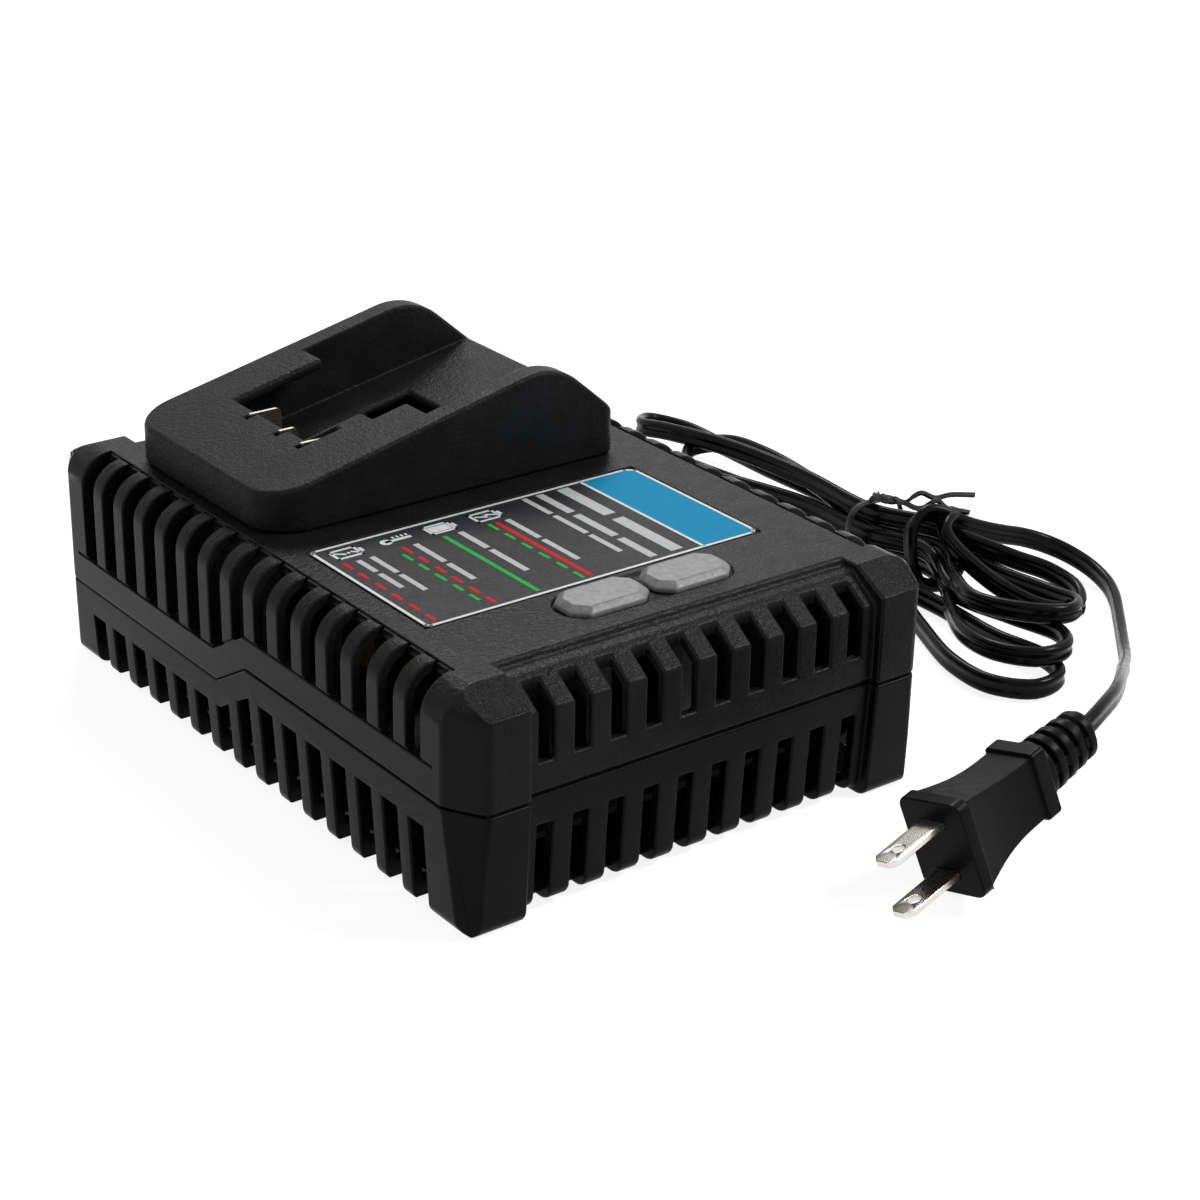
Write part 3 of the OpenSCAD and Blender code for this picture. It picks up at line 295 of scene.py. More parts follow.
def bare_metal(name, colour, roughness, dark=0.8, brushed=None):
    """Plated or bare metal, duller in patches, with fine marks along an axis where brushed says so."""
    made = Finish(name, roughness, metallic=1.0)
    dull = tuple(part * dark for part in colour)
    made.vary_colour(made.noise(size=2.5, detail=4), dull, colour)
    if brushed:
        marks = made.noise(size=0.3, detail=3, stretch=brushed)
        made.vary_roughness(marks, roughness - 0.02, roughness + 0.03)
        made.bump(marks, depth=0.0012)
    return made.material


def printed_ink(name, colour):
    """Screen-printed ink: nearly even and without gloss."""
    made = Finish(name, roughness=0.55, specular=0.04)
    thin = tuple(part * 0.88 for part in colour)
    made.vary_colour(made.noise(size=1.2, detail=3), thin, colour)
    made.bump(made.noise(size=0.4, detail=2), depth=0.003)
    return made.material


def patchy_finish(name, low, high, roughness, patch, depth, metallic=0.0, specular=0.3):
    """Two tones in patches, the lighter one slightly raised."""
    made = Finish(name, roughness, metallic=metallic, specular=specular)
    patches = made.noise(size=patch, detail=3)
    made.vary_colour(patches, low, high)
    made.vary_roughness(made.noise(size=patch * 0.5, detail=3), roughness - 0.08, roughness + 0.1)
    made.bump(patches, depth)
    return made.material


# ---- Moulded copies of the solids ----

# Widest room that any edge has for its rounding, in millimetres
ROOM_MOST = 9.0
# Cosine between two edges that meet: below the first the run goes on, above the second it turns back
GOES_ON, TURNS_BACK = -0.7, 0.97
# Share of a neighbour's length that a rounding may take: where the run goes on, turns back, or is crossed
SHARE_ON_SHARP = 9.0
SHARE_ON_BLUNT = 0.15
SHARE_TURNED_BACK = 0.1
SHARE_ACROSS_SHARP = 0.42
SHARE_ACROSS_BLUNT = 0.8
# Growth of the room along a run, as a share of the shorter edge, and passes to spread it
ROOM_GROWTH = 0.1
ROOM_PASSES = 24

# Points nearer than this, in metres, are merged, and faces flat within this angle are joined
MERGE_WITHIN = 1e-6
FLAT_WITHIN = np.radians(0.6)
FLAT_FACE_WEIGHT = 100


def unit_arm(edge, vertex):
    """Direction in which an edge leaves one of its vertices."""
    return (edge.other_vert(vertex).co - vertex.co).normalized()


def edges_beside(edge):
    """Each edge that meets this one, with the cosine between the two as they leave their common vertex."""
    for vertex in edge.verts:
        away = unit_arm(edge, vertex)
        for beside in vertex.link_edges:
            if beside is not edge:
                yield beside, unit_arm(beside, vertex).dot(away)


def edge_room(edge, sharp):
    """Widest rounding of an edge: the least share of any edge beside it, by how that edge leaves it."""
    room = ROOM_MOST
    for beside, cosine in edges_beside(edge):
        if cosine < GOES_ON:
            share = SHARE_ON_SHARP if beside in sharp else SHARE_ON_BLUNT
        elif cosine > TURNS_BACK:
            share = SHARE_TURNED_BACK
        else:
            sine = max(1 - cosine * cosine, 0) ** 0.5
            share = sine * (SHARE_ACROSS_SHARP if beside in sharp else SHARE_ACROSS_BLUNT)
        room = min(room, beside.calc_length() / MM * share)
    return room


def even_rooms(edges):
    """Room of each of the sharp edges, growing only slowly from one to the next in a run."""
    sharp = set(edges)
    rooms = {edge: edge_room(edge, sharp) for edge in edges}
    runs = []
    for edge in edges:
        for beside, cosine in edges_beside(edge):
            if beside in sharp and cosine < GOES_ON:
                shorter = min(edge.calc_length(), beside.calc_length()) / MM
                runs.append((edge, beside, ROOM_GROWTH * shorter))
    for _ in range(ROOM_PASSES):
        for edge, beside, growth in runs:
            rooms[edge] = min(rooms[edge], rooms[beside] + growth)
    return rooms


def moulded_copy(name, node, width, material, segments=2, sharp_from=24):
    """The solid's own form, its edges beyond an angle rounded by width, or by less where room is short."""
    mesh = bpy.data.meshes.new(name)
    work = bmesh.new()
    work.from_mesh(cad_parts[node].data)
    bmesh.ops.remove_doubles(work, verts=work.verts, dist=MERGE_WITHIN)
    bmesh.ops.dissolve_limit(
        work, angle_limit=FLAT_WITHIN, verts=work.verts, edges=work.edges, delimit=set()
    )
    share = work.edges.layers.float.new("bevel_weight_edge")
    bend = np.radians(sharp_from)
    sharp = [edge for edge in work.edges if len(edge.link_faces) == 2 and edge.calc_face_angle() > bend]
    for edge, room in even_rooms(sharp).items():
        edge[share] = min(room / width, 1.0)
    bmesh.ops.connect_verts_concave(work, faces=work.faces)
    work.to_mesh(mesh)
    work.free()
    mesh.materials.append(material)
    mesh.shade_smooth()
    piece = bpy.data.objects.new(name, mesh)
    bpy.context.scene.collection.objects.link(piece)
    bevel = piece.modifiers.new("moulded edges", "BEVEL")
    bevel.width = width * MM
    bevel.segments = segments
    bevel.limit_method = "WEIGHT"
    bevel.use_clamp_overlap = False
    bevel.miter_outer = "MITER_SHARP"
    level = piece.modifiers.new("flat faces stay flat", "WEIGHTED_NORMAL")
    level.mode = "FACE_AREA"
    level.weight = FLAT_FACE_WEIGHT
    level.keep_sharp = False
    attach(piece, BODY)
    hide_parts(node)
    return piece


# ---- Surfaces carried along a line ----

POINTS_PER_KEY = 24
WIRE_ARC_POINTS = 13
# Half angle of the arc that each wire of the flat cord shows, from its outside to the waist
WIRE_ARC = np.radians(128)
# Points across the tie's band, and half the width of its wire, as shares of the band's width
TIE_POINTS = np.array((-0.5, -0.225, -0.15, -0.08, 0, 0.08, 0.15, 0.225, 0.5))
TIE_WIRE_SHARE = 0.16


def new_piece(name, points, faces, material, smooth=True):
    """Mesh object at the origin, from points in millimetres; rides on the charger."""
    mesh = bpy.data.meshes.new(name)
    mesh.from_pydata((points * MM).tolist(), [], faces)
    mesh.materials.append(material)
    mesh.update()
    if smooth:
        mesh.shade_smooth()
    piece = bpy.data.objects.new(name, mesh)
    bpy.context.scene.collection.objects.link(piece)
    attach(piece, BODY)
    return piece


def smooth_route(keys, step):
    """Centripetal curve through the keys, rows of any width, at equal steps along its first three columns.

    Knots lie the square root of the keys' distance apart. Each stretch takes the lines through its four
    nearest keys, blends them in pairs, and blends the two results, by the way gone between two knots."""
    keys = np.asarray(keys, float)
    ends = np.vstack([2 * keys[0] - keys[1], keys, 2 * keys[-1] - keys[-2]])
    gaps = np.linalg.norm(np.diff(ends[:, :3], axis=0), axis=1) ** 0.5
    knots = np.concatenate([[0], np.cumsum(gaps)])

    def blend(first, second, start, end, at):
        """First at the start knot, second at the end knot, and a straight blend between."""
        return (first * (knots[end] - at) + second * (at - knots[start])) / (knots[end] - knots[start])

    rows = []
    for i in range(1, len(ends) - 2):
        at = np.linspace(knots[i], knots[i + 1], POINTS_PER_KEY, endpoint=False)[:, None]
        lines = [blend(ends[j], ends[j + 1], j, j + 1, at) for j in (i - 1, i, i + 1)]
        bends = [blend(lines[j], lines[j + 1], i + j - 1, i + j + 1, at) for j in (0, 1)]
        rows.append(blend(*bends, i, i + 1, at))
    rows.append(keys[-1:])
    line = np.vstack(rows)
    run = np.concatenate([[0], np.cumsum(np.linalg.norm(np.diff(line[:, :3], axis=0), axis=1))])
    steps = np.linspace(0, run[-1], max(int(round(run[-1] / step)), 2) + 1)
    return np.stack([np.interp(steps, run, column) for column in line.T], axis=1)


def sweep(name, line, wide, section, material, smooth=True):
    """Section carried along a line and closed at both ends.

    A ring is the line's point, plus the section's first column times across, plus its second times through.
    Across is the wide direction made square to the run, and through is the run's cross product with it."""
    along = np.gradient(line, axis=0)
    along /= np.linalg.norm(along, axis=1, keepdims=True)
    across = wide - (wide * along).sum(1, keepdims=True) * along
    across /= np.linalg.norm(across, axis=1, keepdims=True)
    through = np.cross(along, across)
    widths = section[None, :, 0, None] * across[:, None]
    heights = section[None, :, 1, None] * through[:, None]
    rings = line[:, None] + widths + heights
    count, sides = rings.shape[:2]
    base = np.arange((count - 1) * sides).reshape(count - 1, sides)
    turned = np.roll(base, -1, 1)
    walls = np.stack([base, turned, turned + sides, base + sides], -1).reshape(-1, 4)
    first = np.arange(sides)
    last = first + (count - 1) * sides
    faces = [*walls.tolist(), first[::-1].tolist(), last.tolist()]
    return new_piece(name, rings.reshape(-1, 3), faces, material, smooth)


def tie_section(width, film, wire):
    """Thin band with a round wire inside: half its thickness is the film plus the wire's half circle."""
    along = TIE_POINTS * width
    rise = np.sqrt(np.clip(1 - (along / (TIE_WIRE_SHARE * width)) ** 2, 0, 1))
    half = film + wire * rise
    upper = np.stack([along[::-1], half[::-1]], 1)
    lower = np.stack([along, -half], 1)
    return np.vstack([lower, upper])


def twin_section(width, thick):
    """Two round wires side by side: a figure of eight whose halves are arcs of the wire's radius."""
    radius = thick / 2
    centre = width / 2 - radius
    turn = np.linspace(-WIRE_ARC, WIRE_ARC, WIRE_ARC_POINTS)
    one = np.stack([centre + radius * np.cos(turn), radius * np.sin(turn)], 1)
    return np.vstack([one, -one])


# ---- Mains cord ----

CORD_WIDTH = 5.5
CORD_THICK = 2.8
CORD_STEP = 2.0
# Where the cord leaves the gland, and where it ends in the plug's relief
PLUG_TAIL = (74.2, -128.0, 23.5)

# How the cord lies; a number between two kinds blends them
FLAT, EDGE, ROUND = 0, 1, 2
ALONG_BUNDLE = np.array((-0.38, -0.92, 0.0))
BLUR_POINTS = 7
# Added to a length before it divides, so that none is nothing
TINY = 1e-9

# Centre line of the cord, and how it lies: flat, on edge, or wound round the bundle
CORD_KEYS = [
    (36, 107.5, 12, FLAT), (36.6, 114, 11, FLAT), (40, 122, 7.8, FLAT), (49, 129.6, 4.2, FLAT),
    (63, 133.5, 2, FLAT), (78, 134, 1.8, FLAT), (92, 131, 2.2, FLAT), (106, 123, 3.2, EDGE),
    (119, 110, 3.2, EDGE), (128, 92, 3.2, EDGE), (134, 70, 3.2, EDGE), (138, 42, 3.2, EDGE),
    # under the tie, then the loop nearest the floor
    (138, 12, 3.2, EDGE), (129.5, -12, 3.2, EDGE), (119, -34, 3.2, EDGE), (111, -54, 3.2, EDGE),
    (110.5, -68, 3.2, EDGE), (117.5, -77, 3.4, EDGE), (127, -76, 3.8, EDGE), (131, -67, 4, EDGE),
    (130, -50, 3.6, EDGE), (132.5, -28, 3.2, EDGE), (133.4, -11, 3.2, EDGE), (141.5, 12, 3.2, EDGE),
    # far loop behind the housing
    (141, 40, 3.2, EDGE), (133, 70, 3.4, EDGE), (121, 92, 3.6, EDGE), (113, 101, 4, EDGE),
    (111, 111, 4.4, EDGE), (118, 118, 4.6, EDGE), (129, 115, 4, EDGE), (138, 100, 3.4, EDGE),
    (143, 75, 3.2, EDGE), (146, 45, 3.2, EDGE),
    # third strand and the next loop
    (146, 12, 3.2, EDGE), (143.6, -13.5, 5.6, EDGE), (129, -34, 6, EDGE), (119, -50, 7.5, EDGE),
    (117, -63, 8.6, EDGE), (123, -72.5, 9, EDGE), (133, -72, 8.6, EDGE), (139, -63, 8, EDGE),
    (137, -48, 7.8, EDGE), (134, -30, 8.4, EDGE), (141.6, -11, 11.3, EDGE), (140, 12, 9, EDGE),
    # short far loop in front
    (140.5, 36, 8.8, EDGE), (136, 58, 8.4, EDGE), (131.5, 70, 8.6, EDGE), (131.5, 80, 9.6, EDGE),
    (138.5, 86.6, 11, EDGE), (146.6, 80.4, 12.6, EDGE), (148, 64, 13.6, EDGE), (147.5, 40, 12, EDGE),
    (144, 12, 9, EDGE), (145.2, -13, 11.5, EDGE), (134, -30, 11.8, EDGE), (128, -44, 12.6, EDGE),
    (133, -57, 13, EDGE), (142, -62.5, 12.2, EDGE), (151, -58, 10.6, EDGE), (153, -47, 9.2, EDGE),
    (150, -30, 9.6, EDGE), (149, -12, 11.3, EDGE), (148, 12, 9, EDGE),
    # longest far loop
    (151.5, 40, 8, EDGE), (154.5, 72, 6, EDGE), (156, 95, 5.4, EDGE), (153.5, 108, 6.8, EDGE),
    (145, 115.6, 9, EDGE), (136, 108, 11.6, EDGE), (136, 95, 14, EDGE), (140, 70, 15.6, EDGE),
    (142.5, 40, 15.6, EDGE), (142.5, 12, 14.8, EDGE),
    # upper near loop
    (146.6, -9, 16.8, EDGE), (149, -21.5, 15.6, EDGE), (154.8, -31, 13, EDGE),
    (160.7, -38.8, 10.6, EDGE), (161.2, -48, 8.8, EDGE), (155.2, -55, 7.6, EDGE),
    (146.4, -51.6, 8.2, EDGE), (142, -41.6, 10.6, EDGE), (141, -30, 13.6, EDGE),
    (140.6, -22, 17.2, 1.5),
    # once round the bundle
    (142, -16.6, 20.2, ROUND), (146.2, -13.8, 22, ROUND), (151.2, -12.6, 20.4, ROUND),
    (154, -12.7, 15, ROUND), (153.2, -13.2, 8.2, ROUND), (149.6, -13.6, 3.2, ROUND),
    (144.2, -13.5, 1.8, ROUND), (139, -12.8, 3.4, ROUND), (136.2, -11.8, 8.2, ROUND),
    (135.6, -10.8, 14.2, ROUND), (136.8, -9.8, 19.6, 1.8), (140.4, -10.4, 22.6, 1.3),
    # run to the plug, on edge the whole way
    (143.8, -12, 22.4, EDGE), (148.6, -15.1, 19.6, EDGE), (156, -16.2, 16.2, EDGE),
    (164.2, -16.8, 13.1, EDGE), (171.8, -17.6, 10.6, EDGE), (177.8, -20, 8.2, EDGE),
    (181.6, -25, 6.2, EDGE), (182.9, -32.5, 4.4, EDGE), (180.6, -41.5, 3.2, EDGE),
    (175.4, -49.4, 3, EDGE), (167.5, -58.2, 3, EDGE), (157.2, -69, 3.6, EDGE), (147, -79.2, 5.4, EDGE),
    (137.5, -87.6, 8.6, EDGE), (127.5, -95.5, 12.8, EDGE), (117.5, -103.8, 17, EDGE),
    (108, -111.5, 20.9, EDGE), (98.5, -118.4, 23.8, EDGE), (89, -123.6, 25.2, EDGE),
    (81, -126.8, 24.9, EDGE), PLUG_TAIL + (EDGE,),
]


def wide_directions(line, lie):
    """Wide direction at each point: level and square to the run, upright, or along the bundle.

    The three are added by how near the lie is to flat, on edge and wound. A sum that opposes the one before
    is turned round, and neighbours are averaged."""
    along = np.gradient(line, axis=0)
    level = np.cross(along, UPRIGHT)
    level /= np.linalg.norm(level, axis=1, keepdims=True) + TINY
    flat, edge, wound = (np.clip(1 - np.abs(lie - kind), 0, 1)[:, None] for kind in (FLAT, EDGE, ROUND))
    wide = flat * level + edge * UPRIGHT + wound * ALONG_BUNDLE
    opposed = np.where((wide[1:] * wide[:-1]).sum(1) < 0, -1.0, 1.0)
    wide[1:] *= np.cumprod(opposed)[:, None]
    reach = BLUR_POINTS // 2
    padded = np.pad(wide, ((reach, reach), (0, 0)), mode="edge")
    blur = np.ones(BLUR_POINTS) / BLUR_POINTS
    return np.stack([np.convolve(column, blur, "valid") for column in padded.T], 1)


def lay_cord(vinyl):
    """The whole cord as one tube, and its centre line."""
    route = smooth_route(CORD_KEYS, CORD_STEP)
    line = route[:, :3]
    wide = wide_directions(line, route[:, 3])
    return sweep("mains_cord", line, wide, twin_section(CORD_WIDTH, CORD_THICK), vinyl), line


# ---- Wire tie ----

TIE_CENTRE = np.array((143.2, 11.6, 9.6))
TIE_ACROSS = np.array((0.98, -0.2, 0.0))
TIE_ALONG = np.array((0.2, 0.98, 0.0))
TIE_HALF_WIDE = 8.6
TIE_HALF_HIGH = 9.2
TIE_POWER = 3
# Turn at the band's start and end, and half of how far they are apart where they overlap
TIE_TURN = np.radians((80, 450))
TIE_TURN_POINTS = 72
TIE_SHIFT = 0.35

# Width of the band and of a tail, half the thickness of their film, and radius of their wire
TIE_BAND_SECTION = (2.6, 0.16, 0.3)
TIE_TAIL_SECTION = (1.5, 0.14, 0.26)

TAIL_STEP = 0.7
TAIL_WIDE_WAY = (0.3, -0.2, 0.9)
TAIL_ROOT = (141.4, 11.4, 18.9)
# Twist of the tails: its radius, the run of one turn, where it has ended, and the run over which it fades
TWIST_RADIUS = 0.55
TWIST_PITCH = 6.5
TWIST_END = 16
TWIST_FADE = 6

# Wavy tails from where they are twisted together; the short one parts after the keys they share
TIE_TAIL_LONG = [
    (141.3, 10.6, 20.6), (139.8, 6.2, 22), (140.2, 3.7, 21.6), (141.6, 2.1, 22), (141.3, -1.8, 22.6),
    (143.6, -2.3, 24), (145.7, -3.2, 25), (149.8, -4.5, 23), (153.9, -6.1, 23.5), (160.4, -9.2, 23),
]
TIE_TAIL_SHORT = [
    (142.5, -4.5, 21.8), (142.6, -7.2, 22.6), (142.9, -9, 24), (144, -9.8, 25),
    (145.6, -9.9, 25), (147, -11, 23.4), (148.2, -12.8, 22.4), (150, -14, 22.4), (152.6, -15.2, 21.6),
]
KEYS_SHARED = 5


def tie_band(material):
    """Flat band once round the bundle.

    It follows |x / half width| ^ n + |z / half height| ^ n = 1 in the upright plane across the bundle."""
    turn = np.linspace(*TIE_TURN, TIE_TURN_POINTS)
    cosine, sine = np.cos(turn), np.sin(turn)
    x = TIE_HALF_WIDE * np.sign(cosine) * np.abs(cosine) ** (2 / TIE_POWER)
    z = TIE_HALF_HIGH * np.sign(sine) * np.abs(sine) ** (2 / TIE_POWER)
    shift = np.linspace(-TIE_SHIFT, TIE_SHIFT, len(turn))
    line = TIE_CENTRE + np.outer(x, TIE_ACROSS) + np.outer(z + shift, UPRIGHT) + np.outer(shift, TIE_ALONG)
    wide = np.tile(TIE_ALONG, (len(turn), 1))
    return sweep("tie_band", line, wide, tie_section(*TIE_BAND_SECTION), material)


def tie_tail(name, keys, side, material):
    """Tail of the tie: a helix round its line, with a radius that fades along the run."""
    line = smooth_route([TAIL_ROOT, *keys], TAIL_STEP)
    run = np.arange(len(line)) * TAIL_STEP
    radius = TWIST_RADIUS * np.clip((TWIST_END - run) / TWIST_FADE, 0, 1)
    turn = 2 * np.pi * run / TWIST_PITCH
    helix = np.stack([np.cos(turn), np.zeros(len(run)), np.sin(turn)], 1)
    line = line + side * radius[:, None] * helix
    wide = np.tile(TAIL_WIDE_WAY, (len(line), 1))
    return sweep(name, line, wide, tie_section(*TIE_TAIL_SECTION), material)


def tie_wire(material):
    """Wire tie: the band, then two tails half a turn apart that part and wave."""
    return [
        tie_band(material),
        tie_tail("tie_tail_1", TIE_TAIL_LONG, 1, material),
        tie_tail("tie_tail_2", TIE_TAIL_LONG[:KEYS_SHARED] + TIE_TAIL_SHORT, -1, material),
    ]


# ---- Near-black sheets inside the housing, as painted shade ----

SHEET_THICK = 0.5
# How far a sheet bows, as a share of its thickness
SHEET_BOW = 0.05
SHEET_POINTS = 25
# Start and end on the floor plan, lowest and highest point
SHEETS = {
    "painted_shade_sheet_right": ((56, -74), (56, 68), 8, 48),
    "painted_shade_sheet_back": ((-50, 79), (24, 79), 8, 49),
}


def painted_shade_sheet(name, start, end, low, high, material):
    """Upright near-black sheet inside the housing, behind a vented wall, as painted shade that keeps the
    inside dark: a rectangle carried from start to end.

    The run bows outwards by that share of the thickness, times a half sine."""
    middle_z = (low + high) / 2
    start = np.array((*start, middle_z))
    end = np.array((*end, middle_z))
    out = np.cross(end - start, UPRIGHT)
    out /= np.linalg.norm(out)
    share = np.linspace(0, 1, SHEET_POINTS)[:, None]
    line = start + share * (end - start) + SHEET_BOW * SHEET_THICK * np.sin(np.pi * share) * out
    section = np.array([(-1, -1), (1, -1), (1, 1), (-1, 1)]) * (SHEET_THICK / 2, (high - low) / 2)
    sweep(name, line, np.tile(out, (SHEET_POINTS, 1)), section, material, smooth=False)


# ---- Print on the label ----

# Places on the label are measured from the lowest corner of its film; a span lies between two values of y
INK_SUNK = 0.02
INK_HEIGHT = 0.05
BORDER_HEIGHT = 0.06
BORDER_WIDE = 0.8
BAND_HEIGHT = 0.04
DOT_POINTS = 16

BORDER = [
    (1.2, 0.2), (90.8, 0.2), (92, 1.4), (92, 46.5), (89.8, 48),
    (1.2, 48), (0.4, 47.2), (0.4, 1), (1.2, 0.2),
]
DIVIDER = [(76.3, 47.6), (76.3, 0.6)]
BAND = [(76.7, 0.6), (91.6, 0.6), (91.6, 46.3), (89.6, 47.6), (76.7, 47.6)]

SOLID = [(38.8, 1.8)]
DASHES = [(38.8, 34.8), (32.3, 28.3), (25.5, 21.5), (18.8, 14.8), (12, 8), (5.5, 1.8)]
DASHES_BETWEEN = [(35.5, 31.3), (28.8, 24.8), (22.2, 17.8), (15.2, 11.3), (8.8, 5)]
# Inked columns: place across, width, spans
RED_COLUMNS = [(45.2, 1.2, SOLID), (19.3, 1, DASHES), (3.4, 1, DASHES)]
GREEN_COLUMNS = [(43.1, 0.9, DASHES), (30.6, 1.2, SOLID), (17.1, 0.9, DASHES_BETWEEN)]
PLAIN_BARS = [
    (70.1, 3.4, [(46.8, 27.8), (24.8, 2.3)]),
    (63.3, 2.2, [(46.8, 33.8), (31.8, 16.8), (14.8, 2.3)]),
    (58.8, 1.5, [(46.8, 35.8), (34.3, 21.8), (20.3, 8.8)]),
    (48.3, 1.5, [(38.8, 25.8), (24.3, 10.8)]),
    (35.1, 1.6, [(38.8, 27.8), (26.3, 12.3)]),
    (22.7, 1.5, [(38.8, 26.8), (25.3, 15.1)]),
    (7, 1.4, [(38.3, 30.8), (29.3, 20.3)]),
    (10.6, 1.4, [(38.3, 27.8), (26.3, 16.3)]),
]

# Batteries: their places across, then left, right, foot and top of the case and of the terminal
BATTERIES_AT = (45.4, 32.6, 7.2)
BATTERY_CASE = (-3.4, 2.9, 41.2, 45.6)
BATTERY_TERMINAL = (3.1, 4.2, 42.4, 44.4)
BATTERY_LINE = 0.75
FLASH_LINE = 0.7
FLASHES = [
    [(47.7, 42.9), (45.4, 44.4), (45.7, 42.5), (43, 43.9)],
    [(10, 42.2), (8, 43.8), (7, 42.6), (4, 44.6)],
]
FULL_CHARGE = (29.7, 34.9, 41.9, 44.9)
THERMOMETER = [(18, 43.4), (24, 43.4)]
THERMOMETER_LINE = 1.1
BULB = (17.7, 43.4, 1.5)
# The first of the thermometer's marks, the distance between them, and their number
MARK = (20.2, 20.7, 44.3, 45.4)
MARK_PITCH = 1.2
MARKS = 4


class LabelPrint:
    """Thin ink on the film: prisms over outlines, sunk a little into it."""

    def __init__(self, height=INK_HEIGHT):
        low, high = (np.array(corner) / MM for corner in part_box("label_plate"))
        self.corner = low[:2]
        self.levels = (high[2] - INK_SUNK, high[2] + height)
        self.points = []
        self.faces = []

    def outline(self, corners):
        """Prism over a convex outline, corners counter-clockwise."""
        flat = np.asarray(corners, float) + self.corner
        count = len(flat)
        low = np.arange(count) + sum(map(len, self.points))
        high = low + count
        self.points.append(np.vstack([np.column_stack([flat, np.full(count, z)]) for z in self.levels]))
        walls = np.stack([low, np.roll(low, -1), np.roll(high, -1), high], 1)
        self.faces += [low[::-1].tolist(), high.tolist(), *walls.tolist()]

    def bar(self, x0, x1, y0, y1):
        """Rectangle from x0 to x1 and from y0 to y1."""
        self.outline([(x0, y0), (x1, y0), (x1, y1), (x0, y1)])

    def columns(self, columns):
        """Bars of one width in each column, one for each of its spans."""
        for x, wide, spans in columns:
            for top, foot in spans:
                self.bar(x - wide / 2, x + wide / 2, foot, top)

    def stroke(self, corners, wide):
        """Line of one width through corners, its pieces overlapping at the corners."""
        path = np.asarray(corners, float)
        for start, end in zip(path[:-1], path[1:]):
            ahead = (end - start) / np.linalg.norm(end - start) * wide / 2
            side = np.array((-ahead[1], ahead[0]))
            start = start - ahead
            end = end + ahead
            self.outline([start - side, end - side, end + side, start + side])

    def disc(self, x, y, radius):
        """Round dot: the radius times (cosine, sine)."""
        turn = np.linspace(0, 2 * np.pi, DOT_POINTS, endpoint=False)
        self.outline(np.stack([x + radius * np.cos(turn), y + radius * np.sin(turn)], 1))

    def piece(self, name, material):
        """All the prisms as one piece."""
        new_piece(name, np.vstack(self.points), self.faces, material, smooth=False)


def draw_pictures(ink):
    """Three batteries, two of them with a flash and one full, and a thermometer with its scale."""
    left, right, foot, top = BATTERY_CASE
    x0, x1, y0, y1 = BATTERY_TERMINAL
    for x in BATTERIES_AT:
        case = [(x + left, top), (x + left, foot), (x + right, foot), (x + right, top), (x + left, top)]
        ink.stroke(case, BATTERY_LINE)
        ink.bar(x + x0, x + x1, y0, y1)
    for flash in FLASHES:
        ink.stroke(flash, FLASH_LINE)
    ink.bar(*FULL_CHARGE)
    ink.stroke(THERMOMETER, THERMOMETER_LINE)
    ink.disc(*BULB)
    x0, x1, y0, y1 = MARK
    for shift in np.arange(MARKS) * MARK_PITCH:
        ink.bar(x0 + shift, x1 + shift, y0, y1)


def print_label():
    """Border, band, coloured lines and dashes, plain bars and small pictures."""
    white = printed_ink("ink_white", (0.6, 0.61, 0.62))
    grey_ink = printed_ink("ink_grey", (0.42, 0.425, 0.43))
    blue = printed_ink("ink_blue", (0.004, 0.2, 0.37))
    red = printed_ink("ink_red", (0.5, 0.012, 0.016))
    green = printed_ink("ink_green", (0.02, 0.32, 0.05))

    border = LabelPrint(BORDER_HEIGHT)
    border.stroke(BORDER, BORDER_WIDE)
    border.stroke(DIVIDER, BORDER_WIDE)
    border.piece("label_border", white)
    band = LabelPrint(BAND_HEIGHT)
    band.outline(BAND)
    band.piece("label_band", blue)
    for name, columns, ink in (
        ("label_red_lines", RED_COLUMNS, red),
        ("label_green_lines", GREEN_COLUMNS, green),
        ("label_bars", PLAIN_BARS, grey_ink),
    ):
        printed = LabelPrint()
        printed.columns(columns)
        printed.piece(name, ink)
    pictures = LabelPrint()
    draw_pictures(pictures)
    pictures.piece("label_pictures", white)


# ---- Scene and finishes ----

bpy.context.scene.view_settings.view_transform = "Standard"
aim_camera()
light_room()
lay_floor()
for name, (at, side, power) in LAMPS.items():
    add_lamp(name, at, side, power)

# Tone, roughness, width and depth of the grain, strength of the mirror-like reflection
housing_black = moulded_plastic("housing_black", 0.008, 0.28, 0.42, 0.15, 0.065, ribbed_sides=True)
lower_black = moulded_plastic("lower_black", 0.004, 0.32, 0.32, 0.03, 0.055, ribbed_sides=True)
dock_black = moulded_plastic("dock_black", 0.01, 0.34, 0.38, 0.12, 0.05)
# Tone, roughness
cord_black = flexible_vinyl("cord_black", 0.003, 0.22, specular=0.08)
plug_black = flexible_vinyl("plug_black", 0.003, 0.36, specular=0.05)
tie_black = flexible_vinyl("tie_black", 0.014, 0.42)
# Colour, roughness
nickel = bare_metal("nickel", (0.7, 0.67, 0.62), 0.26, dark=0.88)
brass = bare_metal("clip_brass", (0.36, 0.3, 0.16), 0.35, brushed=(1, 1, 0.2))
screw_zinc = bare_metal("screw_zinc", (0.3, 0.3, 0.29), 0.4, brushed=(1, 1, 0.3))
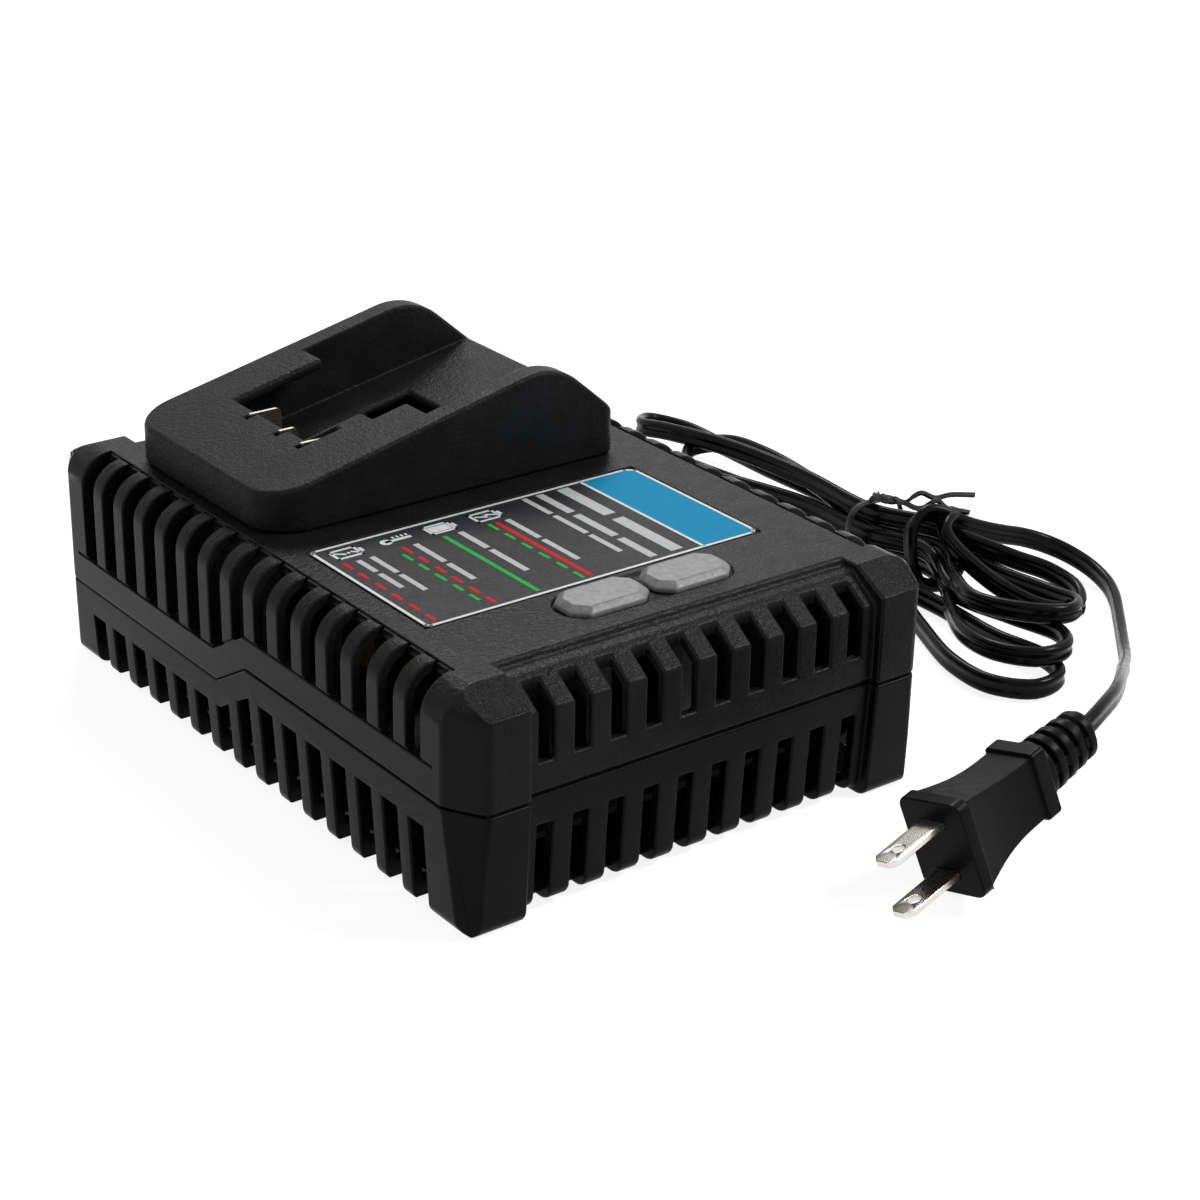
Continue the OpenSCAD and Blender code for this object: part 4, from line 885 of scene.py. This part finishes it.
# Darker and lighter tone, roughness, width of the patches, depth of their relief
frosted = patchy_finish("lens_frosted", (0.13, 0.13, 0.134), (0.21, 0.21, 0.214), 0.42, 1.5, 0.05)
film_grey = patchy_finish(
    "label_film", (0.013, 0.0135, 0.015), (0.017, 0.0175, 0.019), 0.5, 1.5, 0.008, specular=0.1
)
# Parts inside the housing are held near black: partly their own dark colours, partly painted shade for the
# dark inside seen through the vents; solder mask, winding tape, choke winding and inlet block lie far below
# their own colours
mask_green = patchy_finish("solder_mask", (0.002, 0.007, 0.004), (0.003, 0.012, 0.006), 0.5, 3, 0.03)
ferrite = patchy_finish("ferrite", (0.008, 0.008, 0.009), (0.014, 0.014, 0.015), 0.7, 1.2, 0.05)
winding = patchy_finish("winding_tape", (0.012, 0.009, 0.003), (0.022, 0.017, 0.005), 0.6, 2, 0.04)
sleeve = patchy_finish("cap_sleeve", (0.003, 0.0035, 0.006), (0.006, 0.007, 0.013), 0.4, 4, 0.02)
copper = patchy_finish(
    "choke_winding", (0.09, 0.03, 0.012), (0.16, 0.06, 0.02), 0.35, 1, 0.08, metallic=0.6
)
sink_dark = patchy_finish("sink_anodised", (0.006, 0.006, 0.007), (0.01, 0.01, 0.011), 0.5, 1.5, 0.02)
epoxy_black = patchy_finish("chip_epoxy", (0.008, 0.008, 0.008), (0.014, 0.014, 0.014), 0.55, 0.8, 0.02)
glass_clear = patchy_finish("fuse_glass", (0.25, 0.27, 0.28), (0.34, 0.36, 0.37), 0.15, 3, 0.01)
block_green = patchy_finish("inlet_block", (0.002, 0.01, 0.005), (0.004, 0.018, 0.008), 0.5, 1.5, 0.03)
lamp_red = patchy_finish("led_red", (0.22, 0.01, 0.01), (0.32, 0.018, 0.018), 0.2, 2, 0.01)
lamp_green = patchy_finish("led_green", (0.01, 0.16, 0.04), (0.018, 0.24, 0.06), 0.2, 2, 0.01)
# Near-black board for the sheets inside the housing: painted shade, so the inside reads dark through the
# vents
sheet_black_painted_shade = patchy_finish(
    "insulating_board_painted_shade", (0.003, 0.003, 0.0032), (0.006, 0.006, 0.0062), 0.8, 0.6, 0.02, specular=0.1
)


# ---- Pieces ----

cord, cord_line = lay_cord(cord_black)
tie = tie_wire(tie_black)
moulded_copy("upper_shell", "upper_housing", 0.8, housing_black, segments=3)
moulded_copy("lower_shell", "lower_housing", 0.6, lower_black)
moulded_copy("dock_shell", "battery_dock", 1.1, dock_black, segments=3)
moulded_copy("lens_red_side", "left_lens", 0.35, frosted)
moulded_copy("lens_green_side", "right_lens", 0.35, frosted)
plug_body = moulded_copy("plug_grip", "plug_body", 0.4, plug_black, sharp_from=40)
plug_relief = moulded_copy("plug_sleeve", "plug_relief", 0.4, plug_black)
plug_blades = moulded_copy("plug_pins", "plug_blades", 0.25, nickel)
gland = moulded_copy("cord_sleeve", "cord_gland", 0.35, plug_black)
# Near-black sheets behind the vented walls: painted shade inside the housing
for name, (start, end, low, high) in SHEETS.items():
    painted_shade_sheet(name, start, end, low, high, sheet_black_painted_shade)
print_label()

# Solids that keep their own shape, with their finish
NODE_FINISH = {
    "terminal_carrier": dock_black,
    "front_contact": nickel,
    "middle_contact": nickel,
    "back_contact": nickel,
    "label_plate": film_grey,
    "left_led": lamp_red,
    "right_led": lamp_green,
    # Parts inside the housing: their near-black tones are partly painted shade
    "circuit_board": mask_green,
    "transformer_core": ferrite,
    "transformer_winding": winding,
    "input_capacitor": sleeve,
    "output_capacitor_1": sleeve,
    "output_capacitor_2": sleeve,
    "choke": copper,
    "heat_sink": sink_dark,
    "power_transistor": epoxy_black,
    "bridge_rectifier": epoxy_black,
    "fuse": glass_clear,
    "fuse_clips": brass,
    "inlet_block": block_green,
    "board_screws": screw_zinc,
    "housing_screws": screw_zinc,
}
for node, material in NODE_FINISH.items():
    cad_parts[node].data.materials.clear()
    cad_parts[node].data.materials.append(material)


# ---- Cord and sizes ----

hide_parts("cord_tie")
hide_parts("power_cord", "cord_hank", "cord_lead")
cord_length = np.linalg.norm(np.diff(cord_line, axis=0), axis=1).sum()
